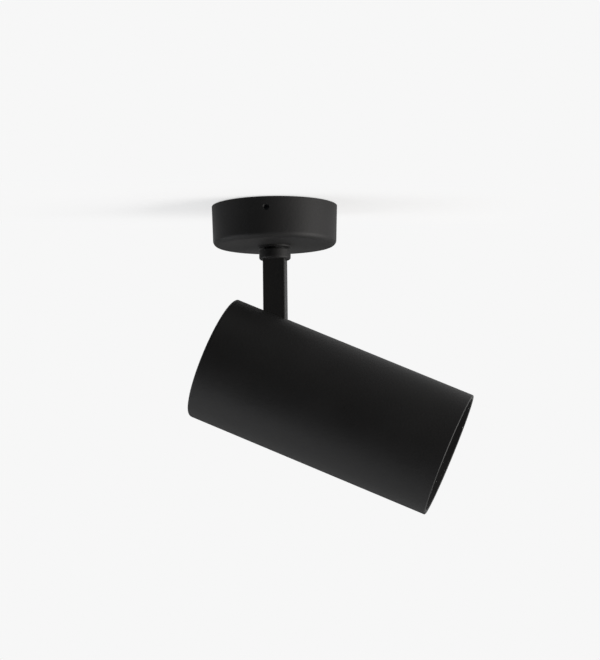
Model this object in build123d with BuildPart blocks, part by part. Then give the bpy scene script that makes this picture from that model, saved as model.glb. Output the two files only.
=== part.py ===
"""Surface mounted ceiling spotlight, in millimetres, +Z up.

The origin is the centre of the ceiling plane. A canopy hangs under the ceiling plate, a square
arm turns in it about Z, and a cylindrical head tilts about a line along Y through the arm's
lower end. The head is drawn pointing towards +X and down by TILT_AT_REST, its highest position.
"""

import os
from collections import namedtuple
from math import cos, radians, sin, sqrt

from build123d import *

# --- Canopy and ceiling plate -------------------------------------------------------------
CANOPY_RIM_RADIUS = 39.8  # at the ceiling
CANOPY_FOOT_RADIUS = 39.0  # at the underside, before its rounded edge
CANOPY_DROP = 25.8  # ceiling to the canopy's underside
CANOPY_WALL = 2.5
CANOPY_FLOOR = 3.0
CANOPY_EDGE_RADIUS = 3.5
CANOPY_INNER_RADIUS = 1.5  # inside corner between wall and floor
CANOPY_SEAT_RADIUS = 10.0  # raised ring round the swivel, on the canopy's underside
CANOPY_SEAT_DROP = 1.0
CEILING_GAP = 0.4  # shadow gap between ceiling and rim
GRUB_DROP = 7.1  # ceiling to the grub screws
GRUB_RECESS = 1.6  # how far the grub screws stand below the canopy's surface
GRUB_TIP_RADIUS = 1.0
GRUB_SINK_RADIUS = 2.1  # mouth of the grub screw's hole
PLATE_GAP = 2.3  # plate's edge to the canopy's inner wall
PLATE_THICKNESS = 1.5
TAB_WIDTH = 14.0
TAB_DROP = 11.0
TAB_GAP = 1.6  # tab to the canopy's inner wall
CEILING_SLOT_MARGIN = 4.0  # slot's end to the plate's edge
CEILING_SLOT_LENGTH = 12.0
CEILING_SLOT_WIDTH = 4.5
CABLE_ENTRY_OFFSET = 17.0
CABLE_BORE_RADIUS = 4.0
GROMMET_WALL = 2.4
GROMMET_FLANGE = 2.0  # flange height, and its width beyond the hole

# --- Terminal block and earth bond --------------------------------------------------------
POLE_PITCH = 9.0
BLOCK_DEPTH = 15.0
BLOCK_HEIGHT = 13.0
BLOCK_CORNER_RADIUS = 1.0
BLOCK_GAP = 2.5  # block to the tab behind it
TERMINAL_RADIUS = 2.0
TERMINAL_BORE_RADIUS = 1.4
TERMINAL_INSET = 1.0  # tube's ends inside the block
TERMINAL_SCREW_RADIUS = 1.2
TERMINAL_SCREW_SPACING = 8.0
TERMINAL_SCREW_INSET = 0.5  # screw's head inside its well
TERMINAL_SLOT_WIDTH = 0.5
TERMINAL_SLOT_DEPTH = 0.7
CORE_RADIUS = 0.9  # one insulated core
EARTH_SCREW_ACROSS = 25.0  # earth screw on the canopy's floor, from the swivel axis
EARTH_SCREW_BACK = -6.0
EARTH_TAG_RADIUS = 4.0
EARTH_TAG_THICKNESS = 0.8
EARTH_TAG_NECK = 1.0  # tag's ring to its barrel
EARTH_BARREL_RADIUS = 1.7
EARTH_BARREL_LENGTH = 5.0

# --- Swivel, from the canopy's floor upwards ----------------------------------------------
THREADED_TUBE_RADIUS = 5.0  # M10 x 1, both for the swivel stem and the tilt axle
THREADED_TUBE_BORE_RADIUS = 3.5
NUT_ACROSS_FLATS = 14.0
NUT_THICKNESS = 3.0
TUBE_END_PROJECTION = 1.4  # tube beyond its outermost nut
STEM_FLAT_DEPTH = 0.7
BUSH_RADIUS = 6.5
BUSH_FLANGE_RADIUS = 10.0
BUSH_FLANGE_THICKNESS = 1.5
WASHER_RADIUS = 9.0
FRICTION_WASHER_THICKNESS = 0.8
STOP_WASHER_THICKNESS = 1.2
STOP_TAB_REACH = 17.5
STOP_TAB_WIDTH = 3.0
STOP_PIN_RADIUS = 1.25
STOP_PIN_OFFSET = 16.0
STOP_PIN_DEPTH = 1.8  # pin in the canopy's floor
DISC_SPRING_HEIGHT = 1.4
DISC_SPRING_THICKNESS = 0.8

# --- Collar and arm -----------------------------------------------------------------------
NECK_GAP = 1.8  # canopy's seat to the collar
COLLAR_RADIUS = 10.0
COLLAR_HEIGHT = 6.0
COLLAR_EDGE_RADIUS = 1.5
ARM_SIDE = 14.0
ARM_EDGE_RADIUS = 0.8
STEM_IN_ARM = 11.4
PIVOT_DROP = 113.0  # ceiling to the tilt axis
FLEX_RADIUS = 2.5  # sheathed three-core lead
FLEX_BEND_RADIUS = 5.0
LEAD_JOINT_GAP = 0.3  # between the lead's lengths at the two turning axes

# --- Tilt joint, from the arm outwards ----------------------------------------------------
PIVOT_FRICTION_THICKNESS = 0.5
YOKE_THICKNESS = 3.0
YOKE_EYE_RADIUS = 10.0
PIVOT_WASHER_THICKNESS = 0.8
PIVOT_SPRING_HEIGHT = 1.2
PIVOT_SPRING_THICKNESS = 0.7
YOKE_SCREW_SPACING = 12.0

# --- Head ---------------------------------------------------------------------------------
TILT_AT_REST = 23.5  # degrees below the horizontal
HEAD_RADIUS = 40.0
HEAD_WALL = 2.5
HEAD_LENGTH = 161.0
HEAD_BEHIND_PIVOT = 43.5
HEAD_REAR_EDGE_RADIUS = 2.0
HEAD_RIM_CHAMFER = 0.3
ARM_SLOT_GAP = 0.3  # arm to each side of the slot, and to its front end at rest
SLOT_CORNER_RADIUS = 0.8
CAP_THICKNESS = 3.0
CAP_INSET = 0.5
CAP_SLOT_GAP = 0.8  # below the arm when the head points straight down
POST_ACROSS_FLATS = 6.0
POST_ANGLE = 64.0  # degrees from the head's top line

# --- Optics and heat sink, from the rim backwards -----------------------------------------
RECESS_DEPTH = 27.5  # rim to the baffle ring
BAFFLE_DEPTH = 7.5  # baffle ring in front of the glass
BAFFLE_LAND = 1.8  # width of the ring's front edge
BAFFLE_CONE = 4.5  # how much narrower the ring is at the glass
BAFFLE_SKIRT = 1.1  # wall round the glass
GLASS_SEAT = 3.0  # width of the gasket and of the reflector's flange
GLASS_THICKNESS = 3.0
GASKET_THICKNESS = 1.0
REFLECTOR_DEPTH = 28.0
REFLECTOR_THROAT_RADIUS = 10.5
REFLECTOR_BULGE = 0.75  # share of the widening reached half way along
REFLECTOR_WALL = 1.0
REFLECTOR_FLANGE = 1.2
HOLDER_THICKNESS = 4.5
HOLDER_RADIUS = 20.0
HOLDER_SCREW_OFFSET = 15.5
HOLDER_NOTCH_GAP = 2.0  # board's edge to the wire notch
EMITTER_GAP = 1.0  # emitter to the holder's opening
BOARD_SIDE = 19.0
BOARD_THICKNESS = 1.0
EMITTER_RADIUS = 7.0
EMITTER_THICKNESS = 0.8
SINK_BASE = 6.0
FIN_LENGTH = 22.0
FIN_THICKNESS = 2.0
FIN_PITCH = 6.0
SINK_CORE_RADIUS = 17.0
SINK_BOSS_RADIUS = 4.0
SINK_BOSS_MARGIN = 1.1  # boss to the edge of the heat sink

# --- Driver and its tray ------------------------------------------------------------------
TRAY_THICKNESS = 1.5
TRAY_WIDTH = 34.0
TRAY_GAP = 1.0  # tray below the yoke
TRAY_SCREW_UP = -24.0
TRAY_SCREW_ACROSS = 12.0
DRIVER_LENGTH = 46.0
DRIVER_WIDTH = 39.0
DRIVER_GAP = 1.0  # driver's lower edges to the head's wall
DRIVER_FRONT_GAP = 4.0
DRIVER_CORNER_RADIUS = 2.0
DRIVER_SCREW_ACROSS = 12.0
INLET_BACK = 30.0  # driver's front to the middle of its inlet
INLET_DEPTH = 3.0
LED_WIRE_RADIUS = 0.7
LED_WIRE_SPACING = 1.8
LED_WIRE_BEND_RADIUS = 2.0
HEAD_LEAD_BEND_RADIUS = 6.0
LEAD_TO_WALL = 9.6  # middle of the lead to the head's wall

# --- Clearances and screws ----------------------------------------------------------------
RUNNING_FIT = 0.05  # radial, a tube that turns in its bore
LOOSE_FIT = 0.1  # radial, a screw in its hole
SLIDE_FIT = 0.2  # radial, a piece that slides into the head

Screw = namedtuple("Screw", "radius head_radius head_height socket socket_depth")
M3 = Screw(radius=1.5, head_radius=2.75, head_height=1.6, socket=2.0, socket_depth=1.0)
M3_SUNK = Screw(radius=1.5, head_radius=2.9, head_height=1.4, socket=2.0, socket_depth=1.2)
M4 = Screw(radius=2.0, head_radius=3.5, head_height=2.2, socket=2.5, socket_depth=1.3)
M3_BORE = M3.radius + LOOSE_FIT
M4_BORE = M4.radius + LOOSE_FIT
SUNK_BORE = M3_SUNK.head_radius + LOOSE_FIT
SUNK_ANGLE = 90.0
GRUB_SOCKET = 1.5
YOKE_SCREW_LENGTH = 10.0
TUBE_SCREW_LENGTH = 5.0
CAP_SCREW_LENGTH = 8.0
TRAY_SCREW_LENGTH = 7.0
DRIVER_SCREW_LENGTH = 6.0
HOLDER_SCREW_LENGTH = 7.0
EARTH_SCREW_LENGTH = 3.2
POST_STUD_LENGTH = 6.0

# --- Heights on the swivel axis -----------------------------------------------------------
FLOOR_TOP = CANOPY_FLOOR - CANOPY_DROP
BUSH_TOP = FLOOR_TOP + BUSH_FLANGE_THICKNESS
STOP_WASHER_SEAT = BUSH_TOP + FRICTION_WASHER_THICKNESS
SPRING_SEAT = STOP_WASHER_SEAT + STOP_WASHER_THICKNESS
NUT_SEAT = SPRING_SEAT + DISC_SPRING_HEIGHT
LOCK_NUT_SEAT = NUT_SEAT + NUT_THICKNESS + LOOSE_FIT
STEM_TOP = LOCK_NUT_SEAT + NUT_THICKNESS + TUBE_END_PROJECTION
COLLAR_TOP = -(CANOPY_DROP + CANOPY_SEAT_DROP + NECK_GAP)
ARM_TOP = COLLAR_TOP - COLLAR_HEIGHT
STEM_FOOT = ARM_TOP - STEM_IN_ARM
TUBE_BORE = THREADED_TUBE_RADIUS + RUNNING_FIT

# --- Distances from the arm's middle along the tilt axis ----------------------------------
YOKE_FACE = ARM_SIDE / 2 + PIVOT_FRICTION_THICKNESS
PIVOT_WASHER_FACE = YOKE_FACE + YOKE_THICKNESS
PIVOT_SPRING_FACE = PIVOT_WASHER_FACE + PIVOT_WASHER_THICKNESS
PIVOT_NUT_FACE = PIVOT_SPRING_FACE + PIVOT_SPRING_HEIGHT
PIVOT_END = PIVOT_NUT_FACE + NUT_THICKNESS + TUBE_END_PROJECTION

# --- Distances forward of the tilt axis along the head ------------------------------------
HEAD_REAR = -HEAD_BEHIND_PIVOT
RIM = HEAD_LENGTH - HEAD_BEHIND_PIVOT
BAFFLE_FRONT = RIM - RECESS_DEPTH
GLASS_FRONT = BAFFLE_FRONT - BAFFLE_DEPTH
GASKET_FRONT = GLASS_FRONT - GLASS_THICKNESS
REFLECTOR_FRONT = GASKET_FRONT - GASKET_THICKNESS
REFLECTOR_BACK = REFLECTOR_FRONT - REFLECTOR_DEPTH
SINK_FRONT = REFLECTOR_BACK - HOLDER_THICKNESS
FINS_FRONT = SINK_FRONT - SINK_BASE
SINK_BACK = FINS_FRONT - FIN_LENGTH
YOKE_BASE_BACK = SINK_BACK - YOKE_THICKNESS
CAP_BACK = HEAD_REAR + CAP_INSET
CAP_FRONT = CAP_BACK + CAP_THICKNESS

# --- Radii and heights in the head --------------------------------------------------------
HEAD_BORE_RADIUS = HEAD_RADIUS - HEAD_WALL
INSERT_RADIUS = HEAD_BORE_RADIUS - SLIDE_FIT
SLOT_HALF_WIDTH = ARM_SIDE / 2 + ARM_SLOT_GAP
BAFFLE_POCKET_RADIUS = INSERT_RADIUS - BAFFLE_SKIRT
BAFFLE_MOUTH_RADIUS = INSERT_RADIUS - BAFFLE_LAND
BAFFLE_THROAT_RADIUS = BAFFLE_MOUTH_RADIUS - BAFFLE_CONE
OPTIC_RADIUS = BAFFLE_POCKET_RADIUS - SLIDE_FIT  # glass, gasket and reflector flange
REFLECTOR_MOUTH_RADIUS = OPTIC_RADIUS - GLASS_SEAT
POST_RADIUS = INSERT_RADIUS - SINK_BOSS_MARGIN - SINK_BOSS_RADIUS
POST_UP = POST_RADIUS * cos(radians(POST_ANGLE))
POST_ACROSS = POST_RADIUS * sin(radians(POST_ANGLE))
TRAY_TOP = -(YOKE_EYE_RADIUS + TRAY_GAP)
DRIVER_TOP = TRAY_TOP - TRAY_THICKNESS
DRIVER_FOOT = -sqrt((HEAD_BORE_RADIUS - DRIVER_GAP) ** 2 - (DRIVER_WIDTH / 2) ** 2)
DRIVER_MIDDLE = (DRIVER_TOP + DRIVER_FOOT) / 2
DRIVER_FRONT = SINK_BACK - TRAY_THICKNESS - DRIVER_FRONT_GAP
TUBE_SCREW_SPOTS = (FINS_FRONT + SINK_BASE / 2, BAFFLE_FRONT - SUNK_BORE)

# --- Planes -------------------------------------------------------------------------------
TILT = radians(TILT_AT_REST)
PIVOT = Vector(0, 0, -PIVOT_DROP)
FORWARD = Vector(cos(TILT), 0, -sin(TILT))
UP = Vector(sin(TILT), 0, cos(TILT))
HEAD_AXIS = Axis(PIVOT, FORWARD)
HEAD = Plane(origin=PIVOT, x_dir=UP, z_dir=FORWARD)  # square to the head's axis: up, -Y
HEAD_SIDE = Plane(origin=PIVOT, x_dir=FORWARD, z_dir=(0, -1, 0))  # lengthwise: forward, up
HEAD_TOP = Plane(origin=PIVOT, x_dir=FORWARD, z_dir=UP)  # seen from above: forward, +Y
TILT_AXIS_PLANE = Plane(origin=PIVOT, x_dir=(1, 0, 0), z_dir=(0, -1, 0))  # square to the tilt axis

os.makedirs("parts", exist_ok=True)


def pivot_plane(side, distance, x_dir=(1, 0, 0)):
    """Plane square to the tilt axis, at a distance on one side of the arm, facing outwards."""
    return Plane(origin=PIVOT + Vector(0, side * distance, 0), x_dir=x_dir, z_dir=(0, side, 0))


def facing_back(forward):
    """Plane square to the head's axis that faces the rear: up, +Y."""
    return Plane(origin=PIVOT + FORWARD * forward, x_dir=UP, z_dir=-FORWARD)


def head_point(forward, up, across):
    """Point in the head, from the tilt axis."""
    return PIVOT + FORWARD * forward + UP * up + Vector(0, across, 0)


def pan_screws(seat, spots, screw, length):
    """Screws with raised heads on the seat plane and shanks running against its normal."""
    with BuildPart() as screws:
        with BuildSketch(seat):
            with Locations(*spots):
                Circle(screw.head_radius)
        extrude(amount=screw.head_height)
        with BuildSketch(seat):
            with Locations(*spots):
                Circle(screw.radius)
        extrude(amount=-length)
        with BuildSketch(seat.offset(screw.head_height)):
            with Locations(*spots):
                RegularPolygon(screw.socket / 2, 6, major_radius=False)
        extrude(amount=-screw.socket_depth, mode=Mode.SUBTRACT)
    return screws


def sunk_screws(face, spots, screw, length):
    """Countersunk screws with their heads' tops in the face plane."""
    with BuildPart() as screws:
        with BuildSketch(face):
            with Locations(*spots):
                Circle(screw.head_radius)
        extrude(amount=-screw.head_height, taper=SUNK_ANGLE / 2)
        with BuildSketch(face.offset(-screw.head_height / 2)):
            with Locations(*spots):
                Circle(screw.radius)
        extrude(amount=-(length - screw.head_height / 2))
        with BuildSketch(face):
            with Locations(*spots):
                RegularPolygon(screw.socket / 2, 6, major_radius=False)
        extrude(amount=-screw.socket_depth, mode=Mode.SUBTRACT)
    return screws


def hex_nuts(seats):
    """M10 nuts, each standing on its seat plane."""
    with BuildPart() as nuts:
        for seat in seats:
            with BuildSketch(seat):
                RegularPolygon(NUT_ACROSS_FLATS / 2, 6, major_radius=False)
                Circle(TUBE_BORE, mode=Mode.SUBTRACT)
            extrude(amount=NUT_THICKNESS)
    return nuts


def washers(seats, outer_radius, thickness):
    """Plain washers for the M10 tubes, each standing on its seat plane."""
    with BuildPart() as rings:
        for seat in seats:
            with BuildSketch(seat):
                Circle(outer_radius)
                Circle(TUBE_BORE, mode=Mode.SUBTRACT)
            extrude(amount=thickness)
    return rings


def disc_springs(seats, height, thickness):
    """Conical spring washers, each with its wide edge on the seat plane."""
    with BuildPart() as springs:
        for seat in seats:
            side = Plane(origin=seat.origin, x_dir=seat.x_dir, z_dir=-seat.y_dir)
            with BuildSketch(side):
                with BuildLine():
                    Polyline(
                        (WASHER_RADIUS, 0),
                        (TUBE_BORE + LOOSE_FIT, height - thickness),
                        (TUBE_BORE + LOOSE_FIT, height),
                        (WASHER_RADIUS, thickness),
                        close=True,
                    )
                make_face()
            revolve(axis=Axis(seat.origin, seat.z_dir))
    return springs


def lead(points, bend_radius, radius):
    """Round lead along straight runs that are joined by arcs."""
    with BuildPart() as tube:
        with BuildLine() as route:
            FilletPolyline(*points, radius=bend_radius)
        with BuildSketch(Plane(origin=route.line @ 0, z_dir=route.line % 0)):
            Circle(radius)
        sweep()
    return tube


def canopy_radius(drop):
    """Outer radius of the canopy at a distance below the ceiling."""
    share = (drop - CEILING_GAP) / (CANOPY_DROP - CEILING_GAP)
    return CANOPY_RIM_RADIUS + (CANOPY_FOOT_RADIUS - CANOPY_RIM_RADIUS) * share


# === Fixed to the ceiling =================================================================
GRUB_SURFACE = canopy_radius(GRUB_DROP)
TAB_FACE = GRUB_SURFACE - CANOPY_WALL - TAB_GAP
PLATE_RADIUS = CANOPY_RIM_RADIUS - CANOPY_WALL - PLATE_GAP
CEILING_SCREW_OFFSET = PLATE_RADIUS - CEILING_SLOT_MARGIN - CEILING_SLOT_LENGTH / 2
BLOCK_OFFSET = TAB_FACE - PLATE_THICKNESS - BLOCK_GAP - BLOCK_DEPTH / 2
GRUB_LENGTH = CANOPY_WALL + TAB_GAP - GRUB_RECESS - LOOSE_FIT  # without its tip
SLOT_SPOTS = ((-CEILING_SCREW_OFFSET, 0), (CEILING_SCREW_OFFSET, 0))
BLOCK_SPOT = (0, -BLOCK_OFFSET)
EARTH_SPOT = (EARTH_SCREW_ACROSS, EARTH_SCREW_BACK)
GROMMET_RADIUS = CABLE_BORE_RADIUS + GROMMET_WALL

with BuildPart() as mounting_plate:
    with BuildSketch(Plane.XY):
        Circle(PLATE_RADIUS)
        Rectangle(TAB_WIDTH, 2 * TAB_FACE)
    extrude(amount=-PLATE_THICKNESS)
    with BuildSketch(Plane.XY):
        with GridLocations(0, 2 * TAB_FACE - PLATE_THICKNESS, 1, 2):
            Rectangle(TAB_WIDTH, PLATE_THICKNESS)
    extrude(amount=-TAB_DROP)
    with BuildSketch(Plane.XY):
        with Locations(*SLOT_SPOTS):
            SlotOverall(CEILING_SLOT_LENGTH, CEILING_SLOT_WIDTH)
        with Locations((0, CABLE_ENTRY_OFFSET)):
            Circle(GROMMET_RADIUS + LOOSE_FIT)
        with Locations(BLOCK_SPOT):
            Circle(M3_BORE)
    extrude(amount=-PLATE_THICKNESS, mode=Mode.SUBTRACT)
    with BuildSketch(Plane.XZ):
        with Locations((0, -GRUB_DROP)):
            Circle(GRUB_TIP_RADIUS + LOOSE_FIT)
    extrude(amount=TAB_FACE, both=True, mode=Mode.SUBTRACT)
mounting_plate.part.label = "mounting_plate"
export_step(mounting_plate.part, "parts/mounting_plate.step")

with BuildPart() as cable_grommet:
    with BuildSketch(Plane.XY):
        with Locations((0, CABLE_ENTRY_OFFSET)):
            Circle(GROMMET_RADIUS)
    extrude(amount=-PLATE_THICKNESS)
    with BuildSketch(Plane.XY.offset(-PLATE_THICKNESS)):
        with Locations((0, CABLE_ENTRY_OFFSET)):
            Circle(GROMMET_RADIUS + GROMMET_FLANGE)
    extrude(amount=-GROMMET_FLANGE)
    with BuildSketch(Plane.XY):
        with Locations((0, CABLE_ENTRY_OFFSET)):
            Circle(CABLE_BORE_RADIUS)
    extrude(amount=-(PLATE_THICKNESS + GROMMET_FLANGE), mode=Mode.SUBTRACT)
cable_grommet.part.label = "cable_grommet"
export_step(cable_grommet.part, "parts/cable_grommet.step")

with BuildPart() as canopy:
    with BuildSketch(Plane.XZ):
        with BuildLine():
            Polyline(
                (0, -CANOPY_DROP),
                (CANOPY_FOOT_RADIUS, -CANOPY_DROP),
                (CANOPY_RIM_RADIUS, -CEILING_GAP),
                (0, -CEILING_GAP),
                close=True,
            )
        make_face()
        fillet(vertices().group_by(Axis.Y)[0].sort_by(Axis.X)[-1], CANOPY_EDGE_RADIUS)
    revolve(axis=Axis.Z)
    with BuildSketch(Plane.XZ):
        with BuildLine():
            Polyline(
                (0, FLOOR_TOP),
                (canopy_radius(-FLOOR_TOP) - CANOPY_WALL, FLOOR_TOP),
                (CANOPY_RIM_RADIUS - CANOPY_WALL, -CEILING_GAP),
                (0, -CEILING_GAP),
                close=True,
            )
        make_face()
        fillet(vertices().group_by(Axis.Y)[0].sort_by(Axis.X)[-1], CANOPY_INNER_RADIUS)
    revolve(axis=Axis.Z, mode=Mode.SUBTRACT)
    with BuildSketch(Plane.XY.offset(-CANOPY_DROP)):
        Circle(CANOPY_SEAT_RADIUS)
    extrude(amount=-CANOPY_SEAT_DROP)
    with BuildSketch(Plane.XY.offset(FLOOR_TOP)):
        Circle(BUSH_RADIUS + LOOSE_FIT)
    extrude(amount=-(CANOPY_FLOOR + CANOPY_SEAT_DROP), mode=Mode.SUBTRACT)
    with BuildSketch(Plane.XY.offset(FLOOR_TOP)):
        with Locations((-STOP_PIN_OFFSET, 0)):
            Circle(STOP_PIN_RADIUS + LOOSE_FIT)
    extrude(amount=-STOP_PIN_DEPTH, mode=Mode.SUBTRACT)
    with BuildSketch(Plane.XY.offset(FLOOR_TOP)):
        with Locations(EARTH_SPOT):
            Circle(M3_BORE)
    extrude(amount=-(EARTH_SCREW_LENGTH - EARTH_TAG_THICKNESS), mode=Mode.SUBTRACT)
    for side in (-1, 1):
        with Locations(Plane(origin=(0, side * GRUB_SURFACE, -GRUB_DROP), z_dir=(0, side, 0))):
            CounterSinkHole(M3_BORE, GRUB_SINK_RADIUS, 2 * CANOPY_WALL)
canopy.part.label = "canopy"
export_step(canopy.part, "parts/canopy.step")

with BuildPart() as canopy_grub_screws:
    for side in (-1, 1):
        end = Plane(origin=(0, side * (GRUB_SURFACE - GRUB_RECESS), -GRUB_DROP), z_dir=(0, side, 0))
        with BuildSketch(end):
            Circle(M3.radius)
        extrude(amount=-GRUB_LENGTH)
        with BuildSketch(end.offset(-GRUB_LENGTH)):
            Circle(GRUB_TIP_RADIUS)
        extrude(amount=-PLATE_THICKNESS)
        with BuildSketch(end):
            RegularPolygon(GRUB_SOCKET / 2, 6, major_radius=False)
        extrude(amount=-GRUB_LENGTH / 2, mode=Mode.SUBTRACT)
canopy_grub_screws.part.label = "canopy_grub_screws"
export_step(canopy_grub_screws.part, "parts/canopy_grub_screws.step")

# --- Terminal block -----------------------------------------------------------------------
BLOCK_TOP = -PLATE_THICKNESS
BLOCK_FOOT = BLOCK_TOP - BLOCK_HEIGHT
BLOCK_FACE = -(BLOCK_OFFSET - BLOCK_DEPTH / 2)  # the side that faces the swivel
POLE_HEIGHT = BLOCK_TOP - BLOCK_HEIGHT / 2
POLES = (-POLE_PITCH / 2, POLE_PITCH / 2)
TERMINAL_SCREW_LINES = [-BLOCK_OFFSET + side * TERMINAL_SCREW_SPACING / 2 for side in (-1, 1)]
TERMINAL_SCREW_SPOTS = [(x, y) for x in POLES for y in TERMINAL_SCREW_LINES]
BLOCK_SCREW_SEAT = BLOCK_FOOT + M3.head_height + LOOSE_FIT
WELL_RADIUS = TERMINAL_SCREW_RADIUS + LOOSE_FIT
CLAMP_HEAD = BLOCK_FOOT + TERMINAL_SCREW_INSET
CLAMP_TIP = POLE_HEIGHT - CORE_RADIUS - LOOSE_FIT

with BuildPart() as terminal_block:
    with BuildSketch(Plane.XY.offset(BLOCK_TOP)):
        with Locations(BLOCK_SPOT):
            RectangleRounded(2 * POLE_PITCH, BLOCK_DEPTH, BLOCK_CORNER_RADIUS)
    extrude(amount=-BLOCK_HEIGHT)
    with BuildSketch(Plane.XZ.offset(BLOCK_OFFSET)):
        with Locations(*[(x, POLE_HEIGHT) for x in POLES]):
            Circle(TERMINAL_RADIUS + LOOSE_FIT)
    extrude(amount=BLOCK_DEPTH / 2, both=True, mode=Mode.SUBTRACT)
    with BuildSketch(Plane.XY.offset(BLOCK_FOOT)):
        with Locations(*TERMINAL_SCREW_SPOTS):
            Circle(WELL_RADIUS)
    extrude(amount=POLE_HEIGHT - BLOCK_FOOT, mode=Mode.SUBTRACT)
    with BuildSketch(Plane.XY.offset(BLOCK_FOOT)):
        with Locations(BLOCK_SPOT):
            Circle(M3.head_radius + LOOSE_FIT)
    extrude(amount=BLOCK_SCREW_SEAT - BLOCK_FOOT, mode=Mode.SUBTRACT)
    with BuildSketch(Plane.XY.offset(BLOCK_FOOT)):
        with Locations(BLOCK_SPOT):
            Circle(M3_BORE)
    extrude(amount=BLOCK_HEIGHT, mode=Mode.SUBTRACT)
terminal_block.part.label = "terminal_block"
export_step(terminal_block.part, "parts/terminal_block.step")

with BuildPart() as terminal_tubes:
    with BuildSketch(Plane.XZ.offset(BLOCK_OFFSET)):
        with Locations(*[(x, POLE_HEIGHT) for x in POLES]):
            Circle(TERMINAL_RADIUS)
            Circle(TERMINAL_BORE_RADIUS, mode=Mode.SUBTRACT)
    extrude(amount=BLOCK_DEPTH / 2 - TERMINAL_INSET, both=True)
    with BuildSketch(Plane.XY.offset(BLOCK_FOOT)):
        with Locations(*TERMINAL_SCREW_SPOTS):
            Circle(WELL_RADIUS)
    extrude(amount=POLE_HEIGHT - BLOCK_FOOT, mode=Mode.SUBTRACT)
terminal_tubes.part.label = "terminal_tubes"
export_step(terminal_tubes.part, "parts/terminal_tubes.step")

with BuildPart() as terminal_screws:
    with BuildSketch(Plane.XY.offset(CLAMP_HEAD)):
        with Locations(*TERMINAL_SCREW_SPOTS):
            Circle(TERMINAL_SCREW_RADIUS)
    extrude(amount=CLAMP_TIP - CLAMP_HEAD)
    with BuildSketch(Plane.XY.offset(CLAMP_HEAD)):
        with Locations(*TERMINAL_SCREW_SPOTS):
            Rectangle(2 * TERMINAL_SCREW_RADIUS, TERMINAL_SLOT_WIDTH)
    extrude(amount=TERMINAL_SLOT_DEPTH, mode=Mode.SUBTRACT)
terminal_screws.part.label = "terminal_screws"
export_step(terminal_screws.part, "parts/terminal_screws.step")

block_screw = pan_screws(
    Plane(origin=(*BLOCK_SPOT, BLOCK_SCREW_SEAT), x_dir=(1, 0, 0), z_dir=(0, 0, -1)),
    [(0, 0)],
    M3,
    -BLOCK_SCREW_SEAT - LOOSE_FIT,
)
block_screw.part.label = "block_screw"
export_step(block_screw.part, "parts/block_screw.step")

# --- Earth bond and leads in the canopy ---------------------------------------------------
FLEX_TOP = -(PLATE_THICKNESS + LEAD_JOINT_GAP + FLEX_RADIUS)
SHEATH_END = -(FLEX_BEND_RADIUS + FLEX_RADIUS)
CORE_SPREAD = 1.2  # middle of each core from the flex's axis
CORE_BEND_RADIUS = 1.8
CORE_IN_SHEATH = 1.0
CORE_STRAIGHT = 0.3  # share of the way from sheath to block that a core runs straight at each end
CORE_SPAN = SHEATH_END - BLOCK_FACE
CORE_TURNS = (BLOCK_FACE + CORE_STRAIGHT * CORE_SPAN, SHEATH_END - CORE_STRAIGHT * CORE_SPAN)
CORE_IN_BLOCK = BLOCK_FACE - BLOCK_DEPTH / 3
EARTH_TAG_TOP = FLOOR_TOP + EARTH_TAG_THICKNESS
BARREL_HEIGHT = FLOOR_TOP + EARTH_BARREL_RADIUS
BARREL_END = EARTH_SCREW_BACK - EARTH_TAG_RADIUS - EARTH_BARREL_LENGTH

with BuildPart() as earth_tag:
    with BuildSketch(Plane.XY.offset(FLOOR_TOP)):
        with Locations(EARTH_SPOT):
            Circle(EARTH_TAG_RADIUS)
            Rectangle(
                EARTH_BARREL_RADIUS,
                EARTH_TAG_RADIUS + EARTH_TAG_NECK,
                align=(Align.CENTER, Align.MAX),
            )
            Circle(M3_BORE, mode=Mode.SUBTRACT)
    extrude(amount=EARTH_TAG_THICKNESS)
    with BuildSketch(Plane.XZ.offset(-BARREL_END)):
        with Locations((EARTH_SCREW_ACROSS, BARREL_HEIGHT)):
            Circle(EARTH_BARREL_RADIUS)
    extrude(amount=-EARTH_BARREL_LENGTH)
    with BuildSketch(Plane.XZ.offset(-BARREL_END)):
        with Locations((EARTH_SCREW_ACROSS, BARREL_HEIGHT)):
            Circle(CORE_RADIUS + LOOSE_FIT)
    extrude(amount=-EARTH_BARREL_LENGTH / 2, mode=Mode.SUBTRACT)
earth_tag.part.label = "earth_tag"
export_step(earth_tag.part, "parts/earth_tag.step")

earth_screw = pan_screws(Plane.XY.offset(EARTH_TAG_TOP), [EARTH_SPOT], M3, EARTH_SCREW_LENGTH)
earth_screw.part.label = "earth_screw"
export_step(earth_screw.part, "parts/earth_screw.step")

CORE_ROUTES = [
    (
        (pole, CORE_IN_BLOCK, POLE_HEIGHT),
        (pole, CORE_TURNS[0], POLE_HEIGHT),
        (side * CORE_SPREAD, CORE_TURNS[1], FLEX_TOP - CORE_SPREAD / 2),
        (side * CORE_SPREAD, SHEATH_END + CORE_IN_SHEATH, FLEX_TOP - CORE_SPREAD / 2),
    )
    for side, pole in zip((-1, 1), POLES)
]
CORE_ROUTES.append(
    (
        (EARTH_SCREW_ACROSS, BARREL_END + EARTH_BARREL_LENGTH / 3, BARREL_HEIGHT),
        (EARTH_SCREW_ACROSS, BARREL_END - 2 * FLEX_RADIUS, BARREL_HEIGHT),
        (EARTH_SCREW_ACROSS / 2, CORE_TURNS[0], (FLEX_TOP + POLE_HEIGHT) / 2),
        (0, sum(CORE_TURNS) / 2, FLEX_TOP + CORE_SPREAD / 2),
        (0, SHEATH_END + CORE_IN_SHEATH, FLEX_TOP + CORE_SPREAD / 2),
    )
)

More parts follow.
